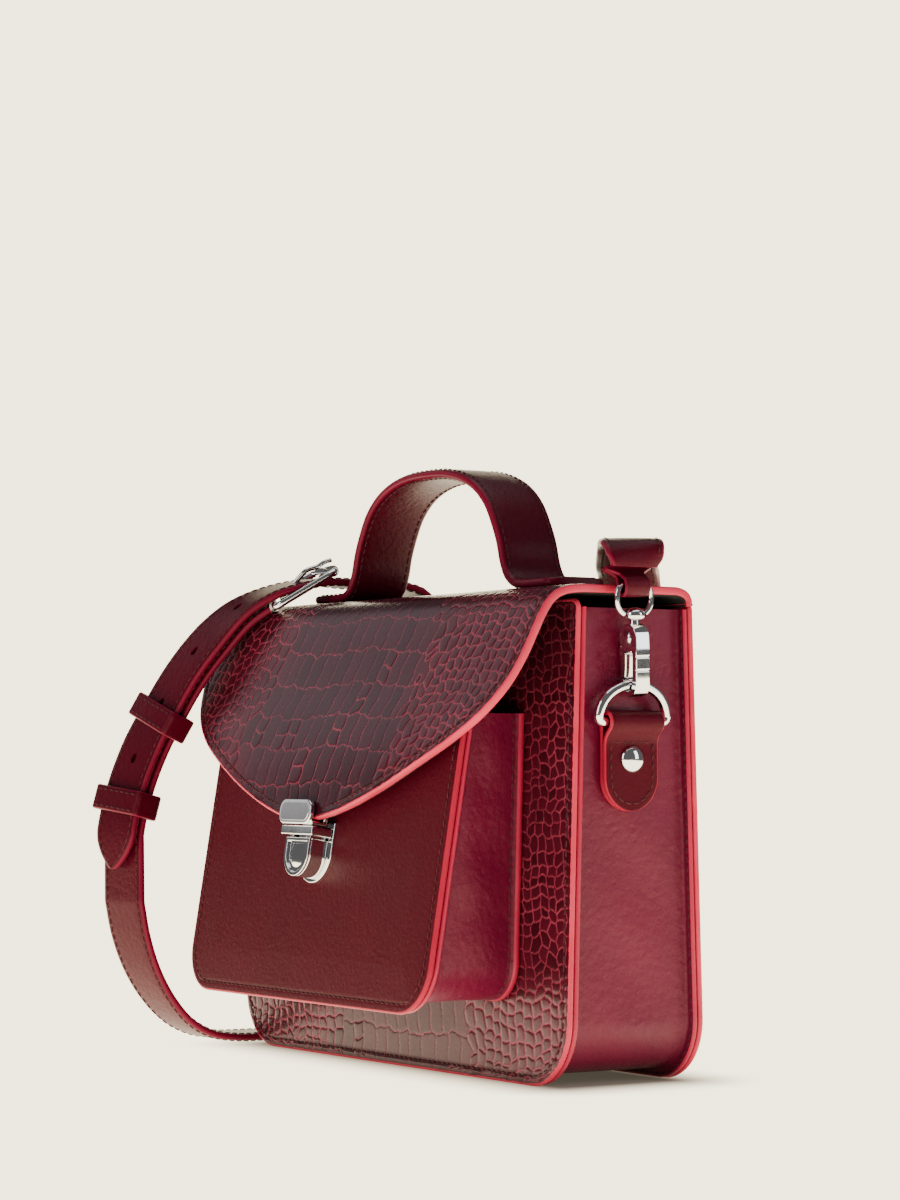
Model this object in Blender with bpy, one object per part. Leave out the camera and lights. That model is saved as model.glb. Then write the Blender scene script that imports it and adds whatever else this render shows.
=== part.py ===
# Small structured satchel: embossed front and flap, front pocket with a press lock, top handle,
# and a removable, buckled shoulder strap on two swivel hooks.
# The bag stands on Z = 0, its front faces -Y, and +X is its left-hand side as worn by the viewer facing it.
import bpy
import bmesh
import math
from mathutils import Vector, Matrix

MM = 0.001

# ---------------------------------------------------------------- driving dimensions (mm)
WIDTH = 200.0            # bag body, across
DEPTH = 52.5             # bag body at its base, outside the two panels
HEIGHT = 149.75          # top edge of the front panel
CORNER = 20.4            # bottom corner radius of the two panels
LEAN_FRONT = 4.1         # the front panel leans in by this at its top
LEAN_BACK = 4.25
PANEL_T = 1.8
SEAM = 3.5               # the panels stand proud of the gusset by this
FLANGE_T = 1.7
GUSSET_T = 1.5
GUSSET_TOP = 147.3
GAP = 0.35
LINING_GAP = 1.2
LINING_T = 0.8

POCKET_W = 152.0
POCKET_Z = 22.3          # lowest edge of the pocket
POCKET_TOP = 115.0
POCKET_D0 = 37.3         # how far the pocket stands out at its lowest edge
POCKET_TAPER = 11.8 / 85.0
POCKET_R = 15.0
POCKET_T = 2.0
POCKET_SEAM = 3.2

FLAP_T = 1.6
FLAP_LINING_T = 0.8
FLAP_TOP = 154.3
HINGE_Z = 147.9

HANDLE_W = 23.0
HANDLE_T = 3.4
HANDLE_Y = -3.0

STRAP_W = 20.0
STRAP_T = 2.8

RING_WIRE = 3.2
RING_Z = 112.0
RING_X = 100.3
RING_Y = -1.8
TAB_W = 20.4
TAB_T = 1.4
RIVET_Z = 100.6

OFFSET_X = 2.42          # these put the origin under the middle of the bag, strap apart
OFFSET_Y = 19.18

# ---------------------------------------------------------------- scene
for o in list(bpy.data.objects):
    bpy.data.objects.remove(o, do_unlink=True)

ROOT = bpy.data.objects.new("satchel_frame", None)
ROOT.location = (OFFSET_X * MM, OFFSET_Y * MM, 0.0)
bpy.context.scene.collection.objects.link(ROOT)

MATS = {}


def material(name, colour, rough, metal=0.0):
    m = bpy.data.materials.new(name)
    m.use_nodes = True
    b = m.node_tree.nodes["Principled BSDF"]
    b.inputs["Base Color"].default_value = (*colour, 1.0)
    b.inputs["Roughness"].default_value = rough
    b.inputs["Metallic"].default_value = metal
    m.diffuse_color = (*colour, 1.0)
    return m


LOOKS = {
    "croc": ((0.07, 0.008, 0.018), 0.25, 0.0),
    "smooth": ((0.11, 0.006, 0.012), 0.45, 0.0),
    "gusset": ((0.17, 0.012, 0.022), 0.5, 0.0),
    "strap": ((0.13, 0.008, 0.016), 0.45, 0.0),
    "lining": ((0.01, 0.01, 0.01), 0.8, 0.0),
    "metal": ((0.8, 0.8, 0.8), 0.12, 1.0),
}

PIVOTS = {}


def pivot(name, at, parent=None):
    """An empty on a joint axis; at is in body coordinates (mm)."""
    e = bpy.data.objects.new(name, None)
    base = PIVOTS[parent][1] if parent else Vector((0, 0, 0))
    e.parent = PIVOTS[parent][0] if parent else ROOT
    e.location = (Vector(at) - base) * MM
    bpy.context.scene.collection.objects.link(e)
    PIVOTS[name] = (e, Vector(at))
    return e


def make(name, verts, faces, look, on=None, smooth=0.0, cuts=()):
    base = PIVOTS[on][1] if on else Vector((0, 0, 0))
    me = bpy.data.meshes.new(name)
    bm = bmesh.new()
    vs = [bm.verts.new((Vector(v) - base) * MM) for v in verts]
    for f in faces:
        bm.faces.new([vs[i] for i in f])
    bmesh.ops.recalc_face_normals(bm, faces=bm.faces[:])
    bm.normal_update()
    if bm.calc_volume(signed=True) < 0:
        bmesh.ops.reverse_faces(bm, faces=bm.faces[:])
    bm.to_mesh(me)
    bm.free()
    if smooth:
        me.shade_smooth()
        me.set_sharp_from_angle(angle=math.radians(smooth))
    ob = bpy.data.objects.new(name, me)
    bpy.context.scene.collection.objects.link(ob)
    ob.parent = PIVOTS[on][0] if on else ROOT
    colour, rough, metal = LOOKS[look]
    me.materials.append(material(name, colour, rough, metal))
    for c in cuts:
        m = ob.modifiers.new("hole", "BOOLEAN")
        m.operation = "DIFFERENCE"
        m.solver = "EXACT"
        m.object = c
    return ob


# ---------------------------------------------------------------- shape helpers
def front_y(z):
    return -DEPTH / 2 + LEAN_FRONT * z / HEIGHT


def back_y(z):
    return DEPTH / 2 - LEAN_BACK * z / HEIGHT


def pocket_y(z):
    return front_y(z) - POCKET_D0 + POCKET_TAPER * (z - POCKET_Z)


def u_outline(half, bottom, top, radius, steps=7, top_radius=0.0, top_steps=3):
    """Points of a U, from the top left corner down, across and up to the top right, as (x, z)."""
    pts = []
    if top_radius:
        for k in range(top_steps + 1):
            a = math.pi / 2 + math.pi / 2 * k / top_steps
            pts.append((-half + top_radius + top_radius * math.cos(a), top - top_radius + top_radius * math.sin(a)))
    else:
        pts.append((-half, top))
    for k in range(steps + 1):
        a = math.pi + math.pi / 2 * k / steps
        pts.append((-half + radius + radius * math.cos(a), bottom + radius + radius * math.sin(a)))
    pts += [(-x, z) for x, z in reversed(pts)]
    return pts


def prism(name, outline, y_a, y_b, look, **kw):
    """A panel: an (x, z) outline carried from y_a(z) to y_b(z)."""
    n = len(outline)
    verts = [(x, y_a(z), z) for x, z in outline] + [(x, y_b(z), z) for x, z in outline]
    faces = [list(range(n)), list(range(2 * n - 1, n - 1, -1))]
    faces += [[i, (i + 1) % n, n + (i + 1) % n, n + i] for i in range(n)]
    return make(name, verts, faces, look, **kw)


def sweep(name, frames, profile, look, closed=False, **kw):
    """frames are (origin, a-direction, b-direction); profile is a closed list of (a, b)."""
    verts, faces, n, m = [], [], len(profile), len(frames)
    for o, a, b in frames:
        verts += [Vector(o) + Vector(a) * p + Vector(b) * q for p, q in profile]
    for i in range(m if closed else m - 1):
        j = (i + 1) % m
        faces += [[i * n + k, i * n + (k + 1) % n, j * n + (k + 1) % n, j * n + k] for k in range(n)]
    if not closed:
        faces += [list(range(n - 1, -1, -1)), list(range((m - 1) * n, m * n))]
    return make(name, verts, faces, look, **kw)


def offset_u(outline, d):
    """The outline moved outward by d, point by point."""
    out = []
    n = len(outline)
    for i, (x, z) in enumerate(outline):
        x0, z0 = outline[max(i - 1, 0)]
        x1, z1 = outline[min(i + 1, n - 1)]
        if i == 0:
            nx, nz = -1.0, 0.0
        elif i == n - 1:
            nx, nz = 1.0, 0.0
        else:
            tx, tz = x1 - x0, z1 - z0
            L = math.hypot(tx, tz)
            nx, nz = tz / L, -tx / L
        out.append((x + nx * d, z + nz * d))
    return out


def band(name, path, y_a, y_b, profile, look, **kw):
    """A band run along a U path. profile is (out, t, mm): out from the path, and y = mix of y_a, y_b by t, plus mm."""
    verts, faces, n = [], [], len(profile)
    offs = {p[0]: offset_u(path, p[0]) for p in profile}
    for i in range(len(path)):
        for out, t, mm in profile:
            x, z = offs[out][i]
            verts.append((x, y_a(z) * (1 - t) + y_b(z) * t + mm, z))
    m = len(path)
    for i in range(m - 1):
        j = i + 1
        faces += [[i * n + k, i * n + (k + 1) % n, j * n + (k + 1) % n, j * n + k] for k in range(n)]
    faces += [list(range(n - 1, -1, -1)), list(range((m - 1) * n, m * n))]
    return make(name, verts, faces, look, **kw)


def tray(name, outer, inner, y0, y1, y2, y3, look, place=lambda x, y, z: (x, y, z), **kw):
    """An open-topped shell: outer and inner U outlines, outer walls at y0 and y3, inner ones at y1 and y2."""
    n = len(outer)
    verts = [place(x, y0(z), z) for x, z in outer] + [place(x, y3(z), z) for x, z in outer]
    verts += [place(x, y1(z), z) for x, z in inner] + [place(x, y2(z), z) for x, z in inner]
    A, B, C, D = 0, n, 2 * n, 3 * n
    faces = [list(range(A, A + n)), list(range(B + n - 1, B - 1, -1)),
             list(range(C + n - 1, C - 1, -1)), list(range(D, D + n))]
    for i in range(n - 1):
        faces.append([A + i, A + i + 1, B + i + 1, B + i])
        faces.append([C + i, D + i, D + i + 1, C + i + 1])
    e = n - 1
    faces += [[A, A + e, C + e, C], [B, D, D + e, B + e], [A, C, D, B], [A + e, B + e, D + e, C + e]]
    return make(name, verts, faces, look, **kw)


def smooth_path(points, per=4):
    """A centripetal Catmull-Rom curve through the points."""
    P = [Vector(p) for p in points]
    P = [P[0] * 2 - P[1]] + P + [P[-1] * 2 - P[-2]]
    out = []
    for i in range(1, len(P) - 2):
        p0, p1, p2, p3 = P[i - 1], P[i], P[i + 1], P[i + 2]
        t0 = 0.0
        t1 = t0 + (p1 - p0).length ** 0.5
        t2 = t1 + (p2 - p1).length ** 0.5
        t3 = t2 + (p3 - p2).length ** 0.5
        for k in range(per):
            t = t1 + (t2 - t1) * k / per
            a1 = p0 * ((t1 - t) / (t1 - t0)) + p1 * ((t - t0) / (t1 - t0))
            a2 = p1 * ((t2 - t) / (t2 - t1)) + p2 * ((t - t1) / (t2 - t1))
            a3 = p2 * ((t3 - t) / (t3 - t2)) + p3 * ((t - t2) / (t3 - t2))
            b1 = a1 * ((t2 - t) / (t2 - t0)) + a2 * ((t - t0) / (t2 - t0))
            b2 = a2 * ((t3 - t) / (t3 - t1)) + a3 * ((t - t1) / (t3 - t1))
            out.append(b1 * ((t2 - t) / (t2 - t1)) + b2 * ((t - t1) / (t2 - t1)))
    out.append(P[-2].copy())
    return out


def length_of(path):
    return sum((b - a).length for a, b in zip(path, path[1:]))


def ribbon(name, path, wides, width, thick, look, ends=(None, None), **kw):
    """A flat strip along path; wides gives the width direction at each point. ends round a tip by (radius, sharpness)."""
    n = len(path)
    S = [0.0]
    for a, b in zip(path, path[1:]):
        S.append(S[-1] + (b - a).length)
    frames = []
    for i, p in enumerate(path):
        t = (path[min(i + 1, n - 1)] - path[max(i - 1, 0)]).normalized()
        w = wides[i] - t * wides[i].dot(t)
        w.normalize()
        q = t.cross(w).normalized()
        h = width(S[i], S[-1]) if callable(width) else width
        frames.append((p, w, q, h))
    verts, faces = [], []
    for p, w, q, h in frames:
        verts += [p - w * h / 2 - q * thick / 2, p + w * h / 2 - q * thick / 2,
                  p + w * h / 2 + q * thick / 2, p - w * h / 2 + q * thick / 2]
    for i in range(n - 1):
        faces += [[i * 4 + k, i * 4 + (k + 1) % 4, (i + 1) * 4 + (k + 1) % 4, (i + 1) * 4 + k] for k in range(4)]
    faces += [[3, 2, 1, 0], [4 * n - 4, 4 * n - 3, 4 * n - 2, 4 * n - 1]]
    return make(name, verts, faces, look, **kw)


def keyed(path, keys):
    """Width directions along a path, blended between keys (share of length, direction)."""
    S = [0.0]
    for a, b in zip(path, path[1:]):
        S.append(S[-1] + (b - a).length)
    out = []
    for s in S:
        u = s / S[-1]
        for (u0, d0), (u1, d1) in zip(keys, keys[1:]):
            if u <= u1 or u1 == keys[-1][0]:
                t = min(max((u - u0) / (u1 - u0), 0.0), 1.0)
                t = t * t * (3 - 2 * t)
                out.append(Vector(d0).normalized().slerp(Vector(d1).normalized(), t) if t not in (0.0, 1.0)
                           else Vector(d1 if t else d0).normalized())
                break
    return out


def tube(name, path, radius, look, sides=8, closed=False, up=(0, 0, 1), **kw):
    """A round wire along path, with flat ends."""
    n = len(path)
    P = [Vector(p) for p in path]
    frames = []
    w = None
    for i, p in enumerate(P):
        if closed:
            t = (P[(i + 1) % n] - P[i - 1]).normalized()
        else:
            t = (P[min(i + 1, n - 1)] - P[max(i - 1, 0)]).normalized()
        if w is None:
            w = Vector(up)
            if abs(w.dot(t)) > 0.9:
                w = Vector((1, 0, 0)) if abs(t.x) < 0.9 else Vector((0, 1, 0))
        w = (w - t * w.dot(t)).normalized()
        frames.append((p, w, t.cross(w)))
    prof = [(radius * math.cos(2 * math.pi * k / sides), radius * math.sin(2 * math.pi * k / sides)) for k in range(sides)]
    return sweep(name, frames, prof, look, closed=closed, smooth=kw.pop("smooth", 50.0), **kw)


def turned(name, centre, axis, profile, look, sides=16, **kw):
    """A turned piece; profile is (distance along the axis, radius), starting and ending on the axis."""
    ax = Vector(axis).normalized()
    a = ax.orthogonal().normalized()
    b = ax.cross(a)
    verts, rings, faces = [], [], []
    for h, r in profile:
        if r < 1e-6:
            rings.append([len(verts)])
            verts.append(Vector(centre) + ax * h)
        else:
            rings.append(list(range(len(verts), len(verts) + sides)))
            for k in range(sides):
                t = 2 * math.pi * k / sides
                verts.append(Vector(centre) + ax * h + (a * math.cos(t) + b * math.sin(t)) * r)
    for r0, r1 in zip(rings, rings[1:]):
        for k in range(sides):
            k2 = (k + 1) % sides
            if len(r0) == 1:
                faces.append([r0[0], r1[k], r1[k2]])
            elif len(r1) == 1:
                faces.append([r0[k], r1[0], r0[k2]])
            else:
                faces.append([r0[k], r1[k], r1[k2], r0[k2]])
    return make(name, verts, faces, look, smooth=kw.pop("smooth", 35.0), **kw)


def cutter(name, centre, axis, radius, half, sides=12):
    prof = [(-half, 0), (-half, radius), (half, radius), (half, 0)]
    ob = turned(name, centre, axis, prof, "metal", sides=sides)
    ob.hide_render = True
    ob.display_type = "WIRE"
    return ob


# ---------------------------------------------------------------- body of the bag
outline = u_outline(WIDTH / 2, 0.0, HEIGHT, CORNER, top_radius=3.0)
prism("front_panel", outline, front_y, lambda z: front_y(z) + PANEL_T, "croc")
outline_b = u_outline(WIDTH / 2, 0.0, 147.5, CORNER)
prism("back_panel", outline_b, lambda z: back_y(z) - PANEL_T, back_y, "croc")

path = u_outline(WIDTH / 2 - SEAM, SEAM, GUSSET_TOP, CORNER - SEAM)
F = PANEL_T + GAP
holes = []
for side, s in (("right", 1), ("left", -1)):
    holes.append(cutter("rivet_hole_" + side, (s * (WIDTH / 2 - SEAM), RING_Y, RIVET_Z), (1, 0, 0), 1.4, 6.5))
band("main_gusset", path, front_y, back_y,
     [(-GUSSET_T, 0, F), (SEAM - 0.3, 0, F), (SEAM - 0.3, 0, F + FLANGE_T), (0, 0, F + FLANGE_T),
      (0, 1, -F - FLANGE_T), (SEAM - 0.3, 1, -F - FLANGE_T), (SEAM - 0.3, 1, -F), (-GUSSET_T, 1, -F)],
     "gusset", cuts=holes)

lin_o = u_outline(WIDTH / 2 - SEAM - GUSSET_T - LINING_GAP, SEAM + GUSSET_T + LINING_GAP, 146.5, CORNER - SEAM - GUSSET_T - LINING_GAP)
lin_i = offset_u(lin_o, -LINING_T)
tray("main_lining", lin_o, lin_i,
     lambda z: front_y(z) + F, lambda z: front_y(z) + F + LINING_T,
     lambda z: back_y(z) - F - LINING_T, lambda z: back_y(z) - F, "lining")

# ---------------------------------------------------------------- front pocket
pocket = u_outline(POCKET_W / 2, POCKET_Z, POCKET_TOP, POCKET_R, steps=6, top_radius=2.0, top_steps=2)
prism("pocket_front", pocket, pocket_y, lambda z: pocket_y(z) + POCKET_T, "smooth")
ppath = u_outline(POCKET_W / 2 - POCKET_SEAM, POCKET_Z + POCKET_SEAM, POCKET_TOP - 0.2, POCKET_R - POCKET_SEAM, steps=6)
G = POCKET_T + GAP
band("pocket_gusset", ppath, pocket_y, front_y,
     [(-1.3, 0, G), (POCKET_SEAM - 0.3, 0, G), (POCKET_SEAM - 0.3, 0, G + 1.6), (0, 0, G + 1.6),
      (0, 1, -GAP), (-6.0, 1, -GAP), (-6.0, 1, -GAP - 1.2), (-1.3, 1, -GAP - 1.2)],
     "gusset")
pl_o = u_outline(POCKET_W / 2 - POCKET_SEAM - 1.3 - GAP, POCKET_Z + POCKET_SEAM + 1.3 + GAP, POCKET_TOP - 1.0,
                 POCKET_R - POCKET_SEAM - 1.3 - GAP, steps=6)
pl_i = offset_u(pl_o, -0.7)
tray("pocket_lining", pl_o, pl_i,
     lambda z: pocket_y(z) + G, lambda z: pocket_y(z) + G + 0.7,
     lambda z: front_y(z) - GAP * 2 - 1.9, lambda z: front_y(z) - GAP * 2 - 1.2, "lining")

# ---------------------------------------------------------------- flap
pivot("flap_hinge", (0, back_y(HINGE_Z), HINGE_Z))
FLAP_KEYS = [  # outer surface (y, z) and half width there
    (back_y(148.0), 148.2, 100.0), (22.0, 150.4, 100.0), (20.4, 152.8, 100.0), (17.2, 154.1, 100.0),
    (12.0, FLAP_TOP, 100.0), (0.0, FLAP_TOP, 100.0), (-12.0, FLAP_TOP, 100.0), (-21.0, 154.2, 100.0),
    (-26.0, 153.6, 100.0), (-29.8, 152.2, 100.0), (-32.6, 150.0, 100.0), (-35.2, 146.6, 100.0), (-38.2, 141.0, 99.9),
    (-41.8, 133.0, 99.0), (-46.0, 124.0, 96.0), (-50.8, 115.0, 89.3), (-54.8, 107.0, 78.3), (-57.6, 99.5, 63.5),
    (-59.5, 92.0, 46.5), (-60.7, 86.5, 31.0), (-61.5, 83.0, 18.0), (-61.9, 81.3, 8.0)]


def flap_grid(depth_a, depth_b, inset, cols=10):
    """Rows of points across the flap, at two depths under its outer surface."""
    ks = FLAP_KEYS
    rows = []
    for i, (y, z, w) in enumerate(ks):
        y0, z0, _ = ks[max(i - 1, 0)]
        y1, z1, _ = ks[min(i + 1, len(ks) - 1)]
        L = math.hypot(y1 - y0, z1 - z0)
        ny, nz = (z1 - z0) / L, -(y1 - y0) / L      # outward
        if i == 0:
            ny, nz = 1.0, 0.0
        a, b = [], []
        for j in range(cols + 1):
            x = (w - inset) * (2.0 * j / cols - 1.0)
            a.append((x, y - ny * depth_a, z - nz * depth_a))
            b.append((x, y - ny * depth_b, z - nz * depth_b))
        rows.append((a, b))
    return rows


def slab(name, rows, look, **kw):
    m, n = len(rows), len(rows[0][0])
    verts, faces = [], []
    for a, b in rows:
        verts += a
        verts += b
    A = lambda i, j: i * 2 * n + j
    B = lambda i, j: i * 2 * n + n + j
    for i in range(m - 1):
        for j in range(n - 1):
            faces.append([A(i, j), A(i, j + 1), A(i + 1, j + 1), A(i + 1, j)])
            faces.append([B(i, j), B(i + 1, j), B(i + 1, j + 1), B(i, j + 1)])
        faces.append([A(i, 0), A(i + 1, 0), B(i + 1, 0), B(i, 0)])
        faces.append([A(i, n - 1), B(i, n - 1), B(i + 1, n - 1), A(i + 1, n - 1)])
    for j in range(n - 1):
        faces.append([A(0, j), B(0, j), B(0, j + 1), A(0, j + 1)])
        faces.append([A(m - 1, j), A(m - 1, j + 1), B(m - 1, j + 1), B(m - 1, j)])
    return make(name, verts, faces, look, **kw)


slab("flap_panel", flap_grid(0.0, FLAP_T, 0.0), "croc", on="flap_hinge")
slab("flap_lining", flap_grid(FLAP_T + 0.3, FLAP_T + 0.3 + FLAP_LINING_T, 0.3), "lining", on="flap_hinge")

# ---------------------------------------------------------------- top handle
hz = FLAP_TOP + 0.35 + HANDLE_T / 2
half = [(74.0, hz), (66.0, hz), (58.0, hz), (52.5, hz + 0.6), (48.8, hz + 3.0), (46.2, hz + 7.5), (44.2, hz + 14.0),
        (41.3, 176.5), (36.8, 183.5), (30.3, 189.0), (22.3, 192.6), (12.0, 194.8), (0.0, 195.3)]
hp = smooth_path([(-x, HANDLE_Y, z) for x, z in half] + [(x, HANDLE_Y, z) for x, z in reversed(half[:-1])], per=2)


def handle_width(s, total):
    e = min(s, total - s)
    r = 4.0
    return HANDLE_W - (2 * r - 2 * math.sqrt(max(r * r - (r - e) ** 2, 0.0)) if e < r else 0.0)


ribbon("handle_strap", hp, [Vector((0, 1, 0))] * len(hp), handle_width, HANDLE_T, "strap", on="flap_hinge")

# ---------------------------------------------------------------- lock
LOCK_Z = 75.0
slope = math.atan(LEAN_FRONT / HEIGHT + POCKET_TAPER)
LU = Vector((0, math.sin(slope), math.cos(slope)))
LN = Vector((0, -math.cos(slope), math.sin(slope)))
LO = Vector((0, pocket_y(LOCK_Z), LOCK_Z))


def lock_at(x, n, u):
    return LO + Vector((x, 0, 0)) + LU * u + LN * n


def lock_prism(name, outline_xu, n0, n1, look="metal", **kw):
    n = len(outline_xu)
    verts = [lock_at(x, n0, u) for x, u in outline_xu] + [lock_at(x, n1, u) for x, u in outline_xu]
    faces = [list(range(n)), list(range(2 * n - 1, n - 1, -1))]
    faces += [[i, (i + 1) % n, n + (i + 1) % n, n + i] for i in range(n)]
    return make(name, verts, faces, look, **kw)


def shield(half_w, top, bottom, steps=12):
    """A flat-topped shield with a round foot."""
    r = half_w
    pts = [(-half_w, top)]
    for k in range(steps + 1):
        a = math.pi + math.pi * k / steps
        pts.append((r * math.cos(a), bottom + r + r * math.sin(a)))
    pts.append((half_w, top))
    return pts


lock_prism("lock_base_plate", shield(10.2, 5.0, -15.0), 0.35, 1.35, smooth=30.0)
sh_o, sh_i = shield(7.6, -1.1, -13.7), shield(6.4, -1.1, -12.5)
tray("lock_housing", sh_o, sh_i, lambda z: 8.3, lambda z: 7.2, lambda z: 2.7, lambda z: 1.7, "metal",
     place=lambda x, n, u: lock_at(x, n, u), smooth=30.0)
pivot("lock_slide", lock_at(0, 5, 2))


def rounded(hw, hh, r, cx=0.0, cy=0.0, steps=3):
    pts = []
    for qx, qy, a0 in ((1, 1, 0), (-1, 1, 90), (-1, -1, 180), (1, -1, 270)):
        for k in range(steps + 1):
            a = math.radians(a0 + 90.0 * k / steps)
            pts.append((cx + qx * (hw - r) + r * math.cos(a), cy + qy * (hh - r) + r * math.sin(a)))
    return pts


# press bar with its stem, one piece: a T seen from the front
def bar_and_stem(name):
    """The wide bar runs from n 1.8 to 9.4; the stem under it is 3.4 deep, so the two depths share one body."""
    xs = [-9.9, -2.4, 2.4, 9.9]
    ns = [1.8, 3.2, 6.6, 9.4]
    us = [-4.6, -0.3, 2.7]
    solid = set()
    for i in range(3):
        for j in range(3):
            solid.add((i, j, 1))
    solid.add((1, 1, 0))
    verts, index, faces = [], {}, []

    def v(i, j, k):
        if (i, j, k) not in index:
            index[(i, j, k)] = len(verts)
            verts.append(lock_at(xs[i], ns[j], us[k]))
        return index[(i, j, k)]

    for i, j, k in sorted(solid):
        for axis in range(3):
            for d in (0, 1):
                q = [i, j, k]
                q[axis] += 1 if d else -1
                if tuple(q) in solid:
                    continue
                c = [[i, j, k] for _ in range(4)]
                o = [a for a in range(3) if a != axis]
                for m, (p, r) in enumerate(((0, 0), (1, 0), (1, 1), (0, 1))):
                    c[m][axis] += d
                    c[m][o[0]] += p
                    c[m][o[1]] += r
                faces.append([v(*p) for p in c])
    return make(name, verts, faces, "metal", on="lock_slide")


bar_and_stem("lock_slider")

# return spring under the stem
turns, per = 5, 10
sp = []
for k in range(turns * per + 1):
    a = 2 * math.pi * k / per
    sp.append(lock_at(1.45 * math.cos(a), 4.9 + 1.45 * math.sin(a), -12.0 + 6.8 * k / (turns * per)))
tube("lock_spring", sp, 0.3, "metal", sides=6, up=LN)

# clip on the flap's tip: front cap, foot and back plate in one, and the tongue behind it
clip = [(9.1, 11.0), (9.1, 4.25), (5.0, 4.25), (5.0, 10.0), (4.0, 10.0), (4.0, 3.05), (10.5, 3.05), (10.8, 3.4), (10.8, 10.6), (10.5, 11.0)]


def lock_bar(name, section, hw, **kw):
    """A section in (n, u), carried across from -hw to hw."""
    n = len(section)
    verts = [lock_at(-hw, a, b) for a, b in section] + [lock_at(hw, a, b) for a, b in section]
    faces = [list(range(n)), list(range(2 * n - 1, n - 1, -1))]
    faces += [[i, (i + 1) % n, n + (i + 1) % n, n + i] for i in range(n)]
    return make(name, verts, faces, "metal", **kw)


lock_bar("lock_cap", clip, 10.0, on="flap_hinge")
lock_bar("lock_tongue", [(2.4, 3.05), (3.3, 3.05), (3.65, 3.5), (3.65, 9.4), (2.4, 9.4)], 4.2, on="flap_hinge")

# ---------------------------------------------------------------- ring tabs, rivets and rings, both sides
XG = WIDTH / 2 - SEAM


def side(v, s):
    return Vector((v[0] * s, v[1], v[2]))


def ring_tab(name, s, cut):
    r = RING_WIRE / 2 + 0.6 + TAB_T / 2
    zb = 84.6
    pts = []
    xb = XG + 0.35 + TAB_T / 2
    for z in (zb, zb + 0.4, zb + 1.2, zb + 2.6, zb + 4.6, zb + 7.2, zb + 10.5, zb + 16.0):
        pts.append((xb, z))
    pts.append((xb, RING_Z - 6.5))
    pts.append((xb + 0.02, RING_Z - 3.0))
    for k in range(0, 9):
        a = math.radians(180 - 210.0 * k / 8)
        pts.append((RING_X + r * math.cos(a), RING_Z + r * math.sin(a)))
    xf = xb + TAB_T + 0.35
    pts.append((xf + 0.75, RING_Z - 4.4))
    pts.append((xf + 0.1, RING_Z - 6.2))
    for z in (zb + 16.0, zb + 10.5, zb + 7.2, zb + 4.6, zb + 2.6, zb + 1.2, zb + 0.4, zb):
        pts.append((xf, z))
    P = [side((x, RING_Y, z), s) for x, z in pts]

    def width(sv, total):
        e = min(sv, total - sv)
        R = TAB_W / 2
        return TAB_W if e >= R else max(2 * math.sqrt(max(R * R - (R - e) ** 2, 0.0)), 5.0)

    return ribbon(name, P, [Vector((0, 1, 0))] * len(P), width, TAB_T, "smooth", cuts=[cut])


ring_path = []
for k in range(1, 24):
    a = math.pi * k / 24
    ring_path.append((12.7 * math.cos(a), 10.7 * math.sin(a) ** 0.9 + 0.95))
for y in (-12.0, -10.7, -8.0, 0.0, 8.0, 10.7, 12.0):
    ring_path.append((y, 1.15 if abs(y) > 11 else (0.2 if abs(y) > 10 else 0.0)))

RING_TILT = {"right": math.radians(6.0), "left": math.radians(36.0)}
for name, s, hole in (("right", 1, holes[0]), ("left", -1, holes[1])):
    tab_cut = cutter("tab_hole_" + name, (s * (XG + 2), RING_Y, RIVET_Z), (1, 0, 0), 1.4, 4.5)
    ring_tab("ring_tab_" + name, s, tab_cut)
    x0 = XG + 0.35 * 2 + TAB_T * 2 + 0.3
    turned("tab_rivet_" + name, (0, RING_Y, RIVET_Z), (s, 0, 0),
           [(XG - GUSSET_T - 0.95, 0), (XG - GUSSET_T - 0.95, 2.6), (XG - GUSSET_T - 0.35, 2.6), (XG - GUSSET_T - 0.35, 1.0),
            (x0, 1.0), (x0, 4.1), (x0 + 0.5, 4.05), (x0 + 1.3, 3.3), (x0 + 1.8, 2.0), (x0 + 2.0, 0)], "metal")
    pivot("ring_" + name, (s * RING_X, RING_Y, RING_Z))
    up = 1 if s > 0 else -1                  # the right ring stands, the left one hangs
    tilt = RING_TILT[name]
    tube("d_ring_" + name, [(s * (RING_X + z * math.sin(tilt)), RING_Y + y, RING_Z + up * z * math.cos(tilt)) for y, z in ring_path],
         RING_WIRE / 2, "metal", sides=10, closed=True, up=(1, 0, 0), on="ring_" + name)

# ---------------------------------------------------------------- swivel hooks
EYE_C, EYE_RY, EYE_RZ, EYE_WIRE = 25.9, 6.4, 5.15, 0.95


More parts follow.
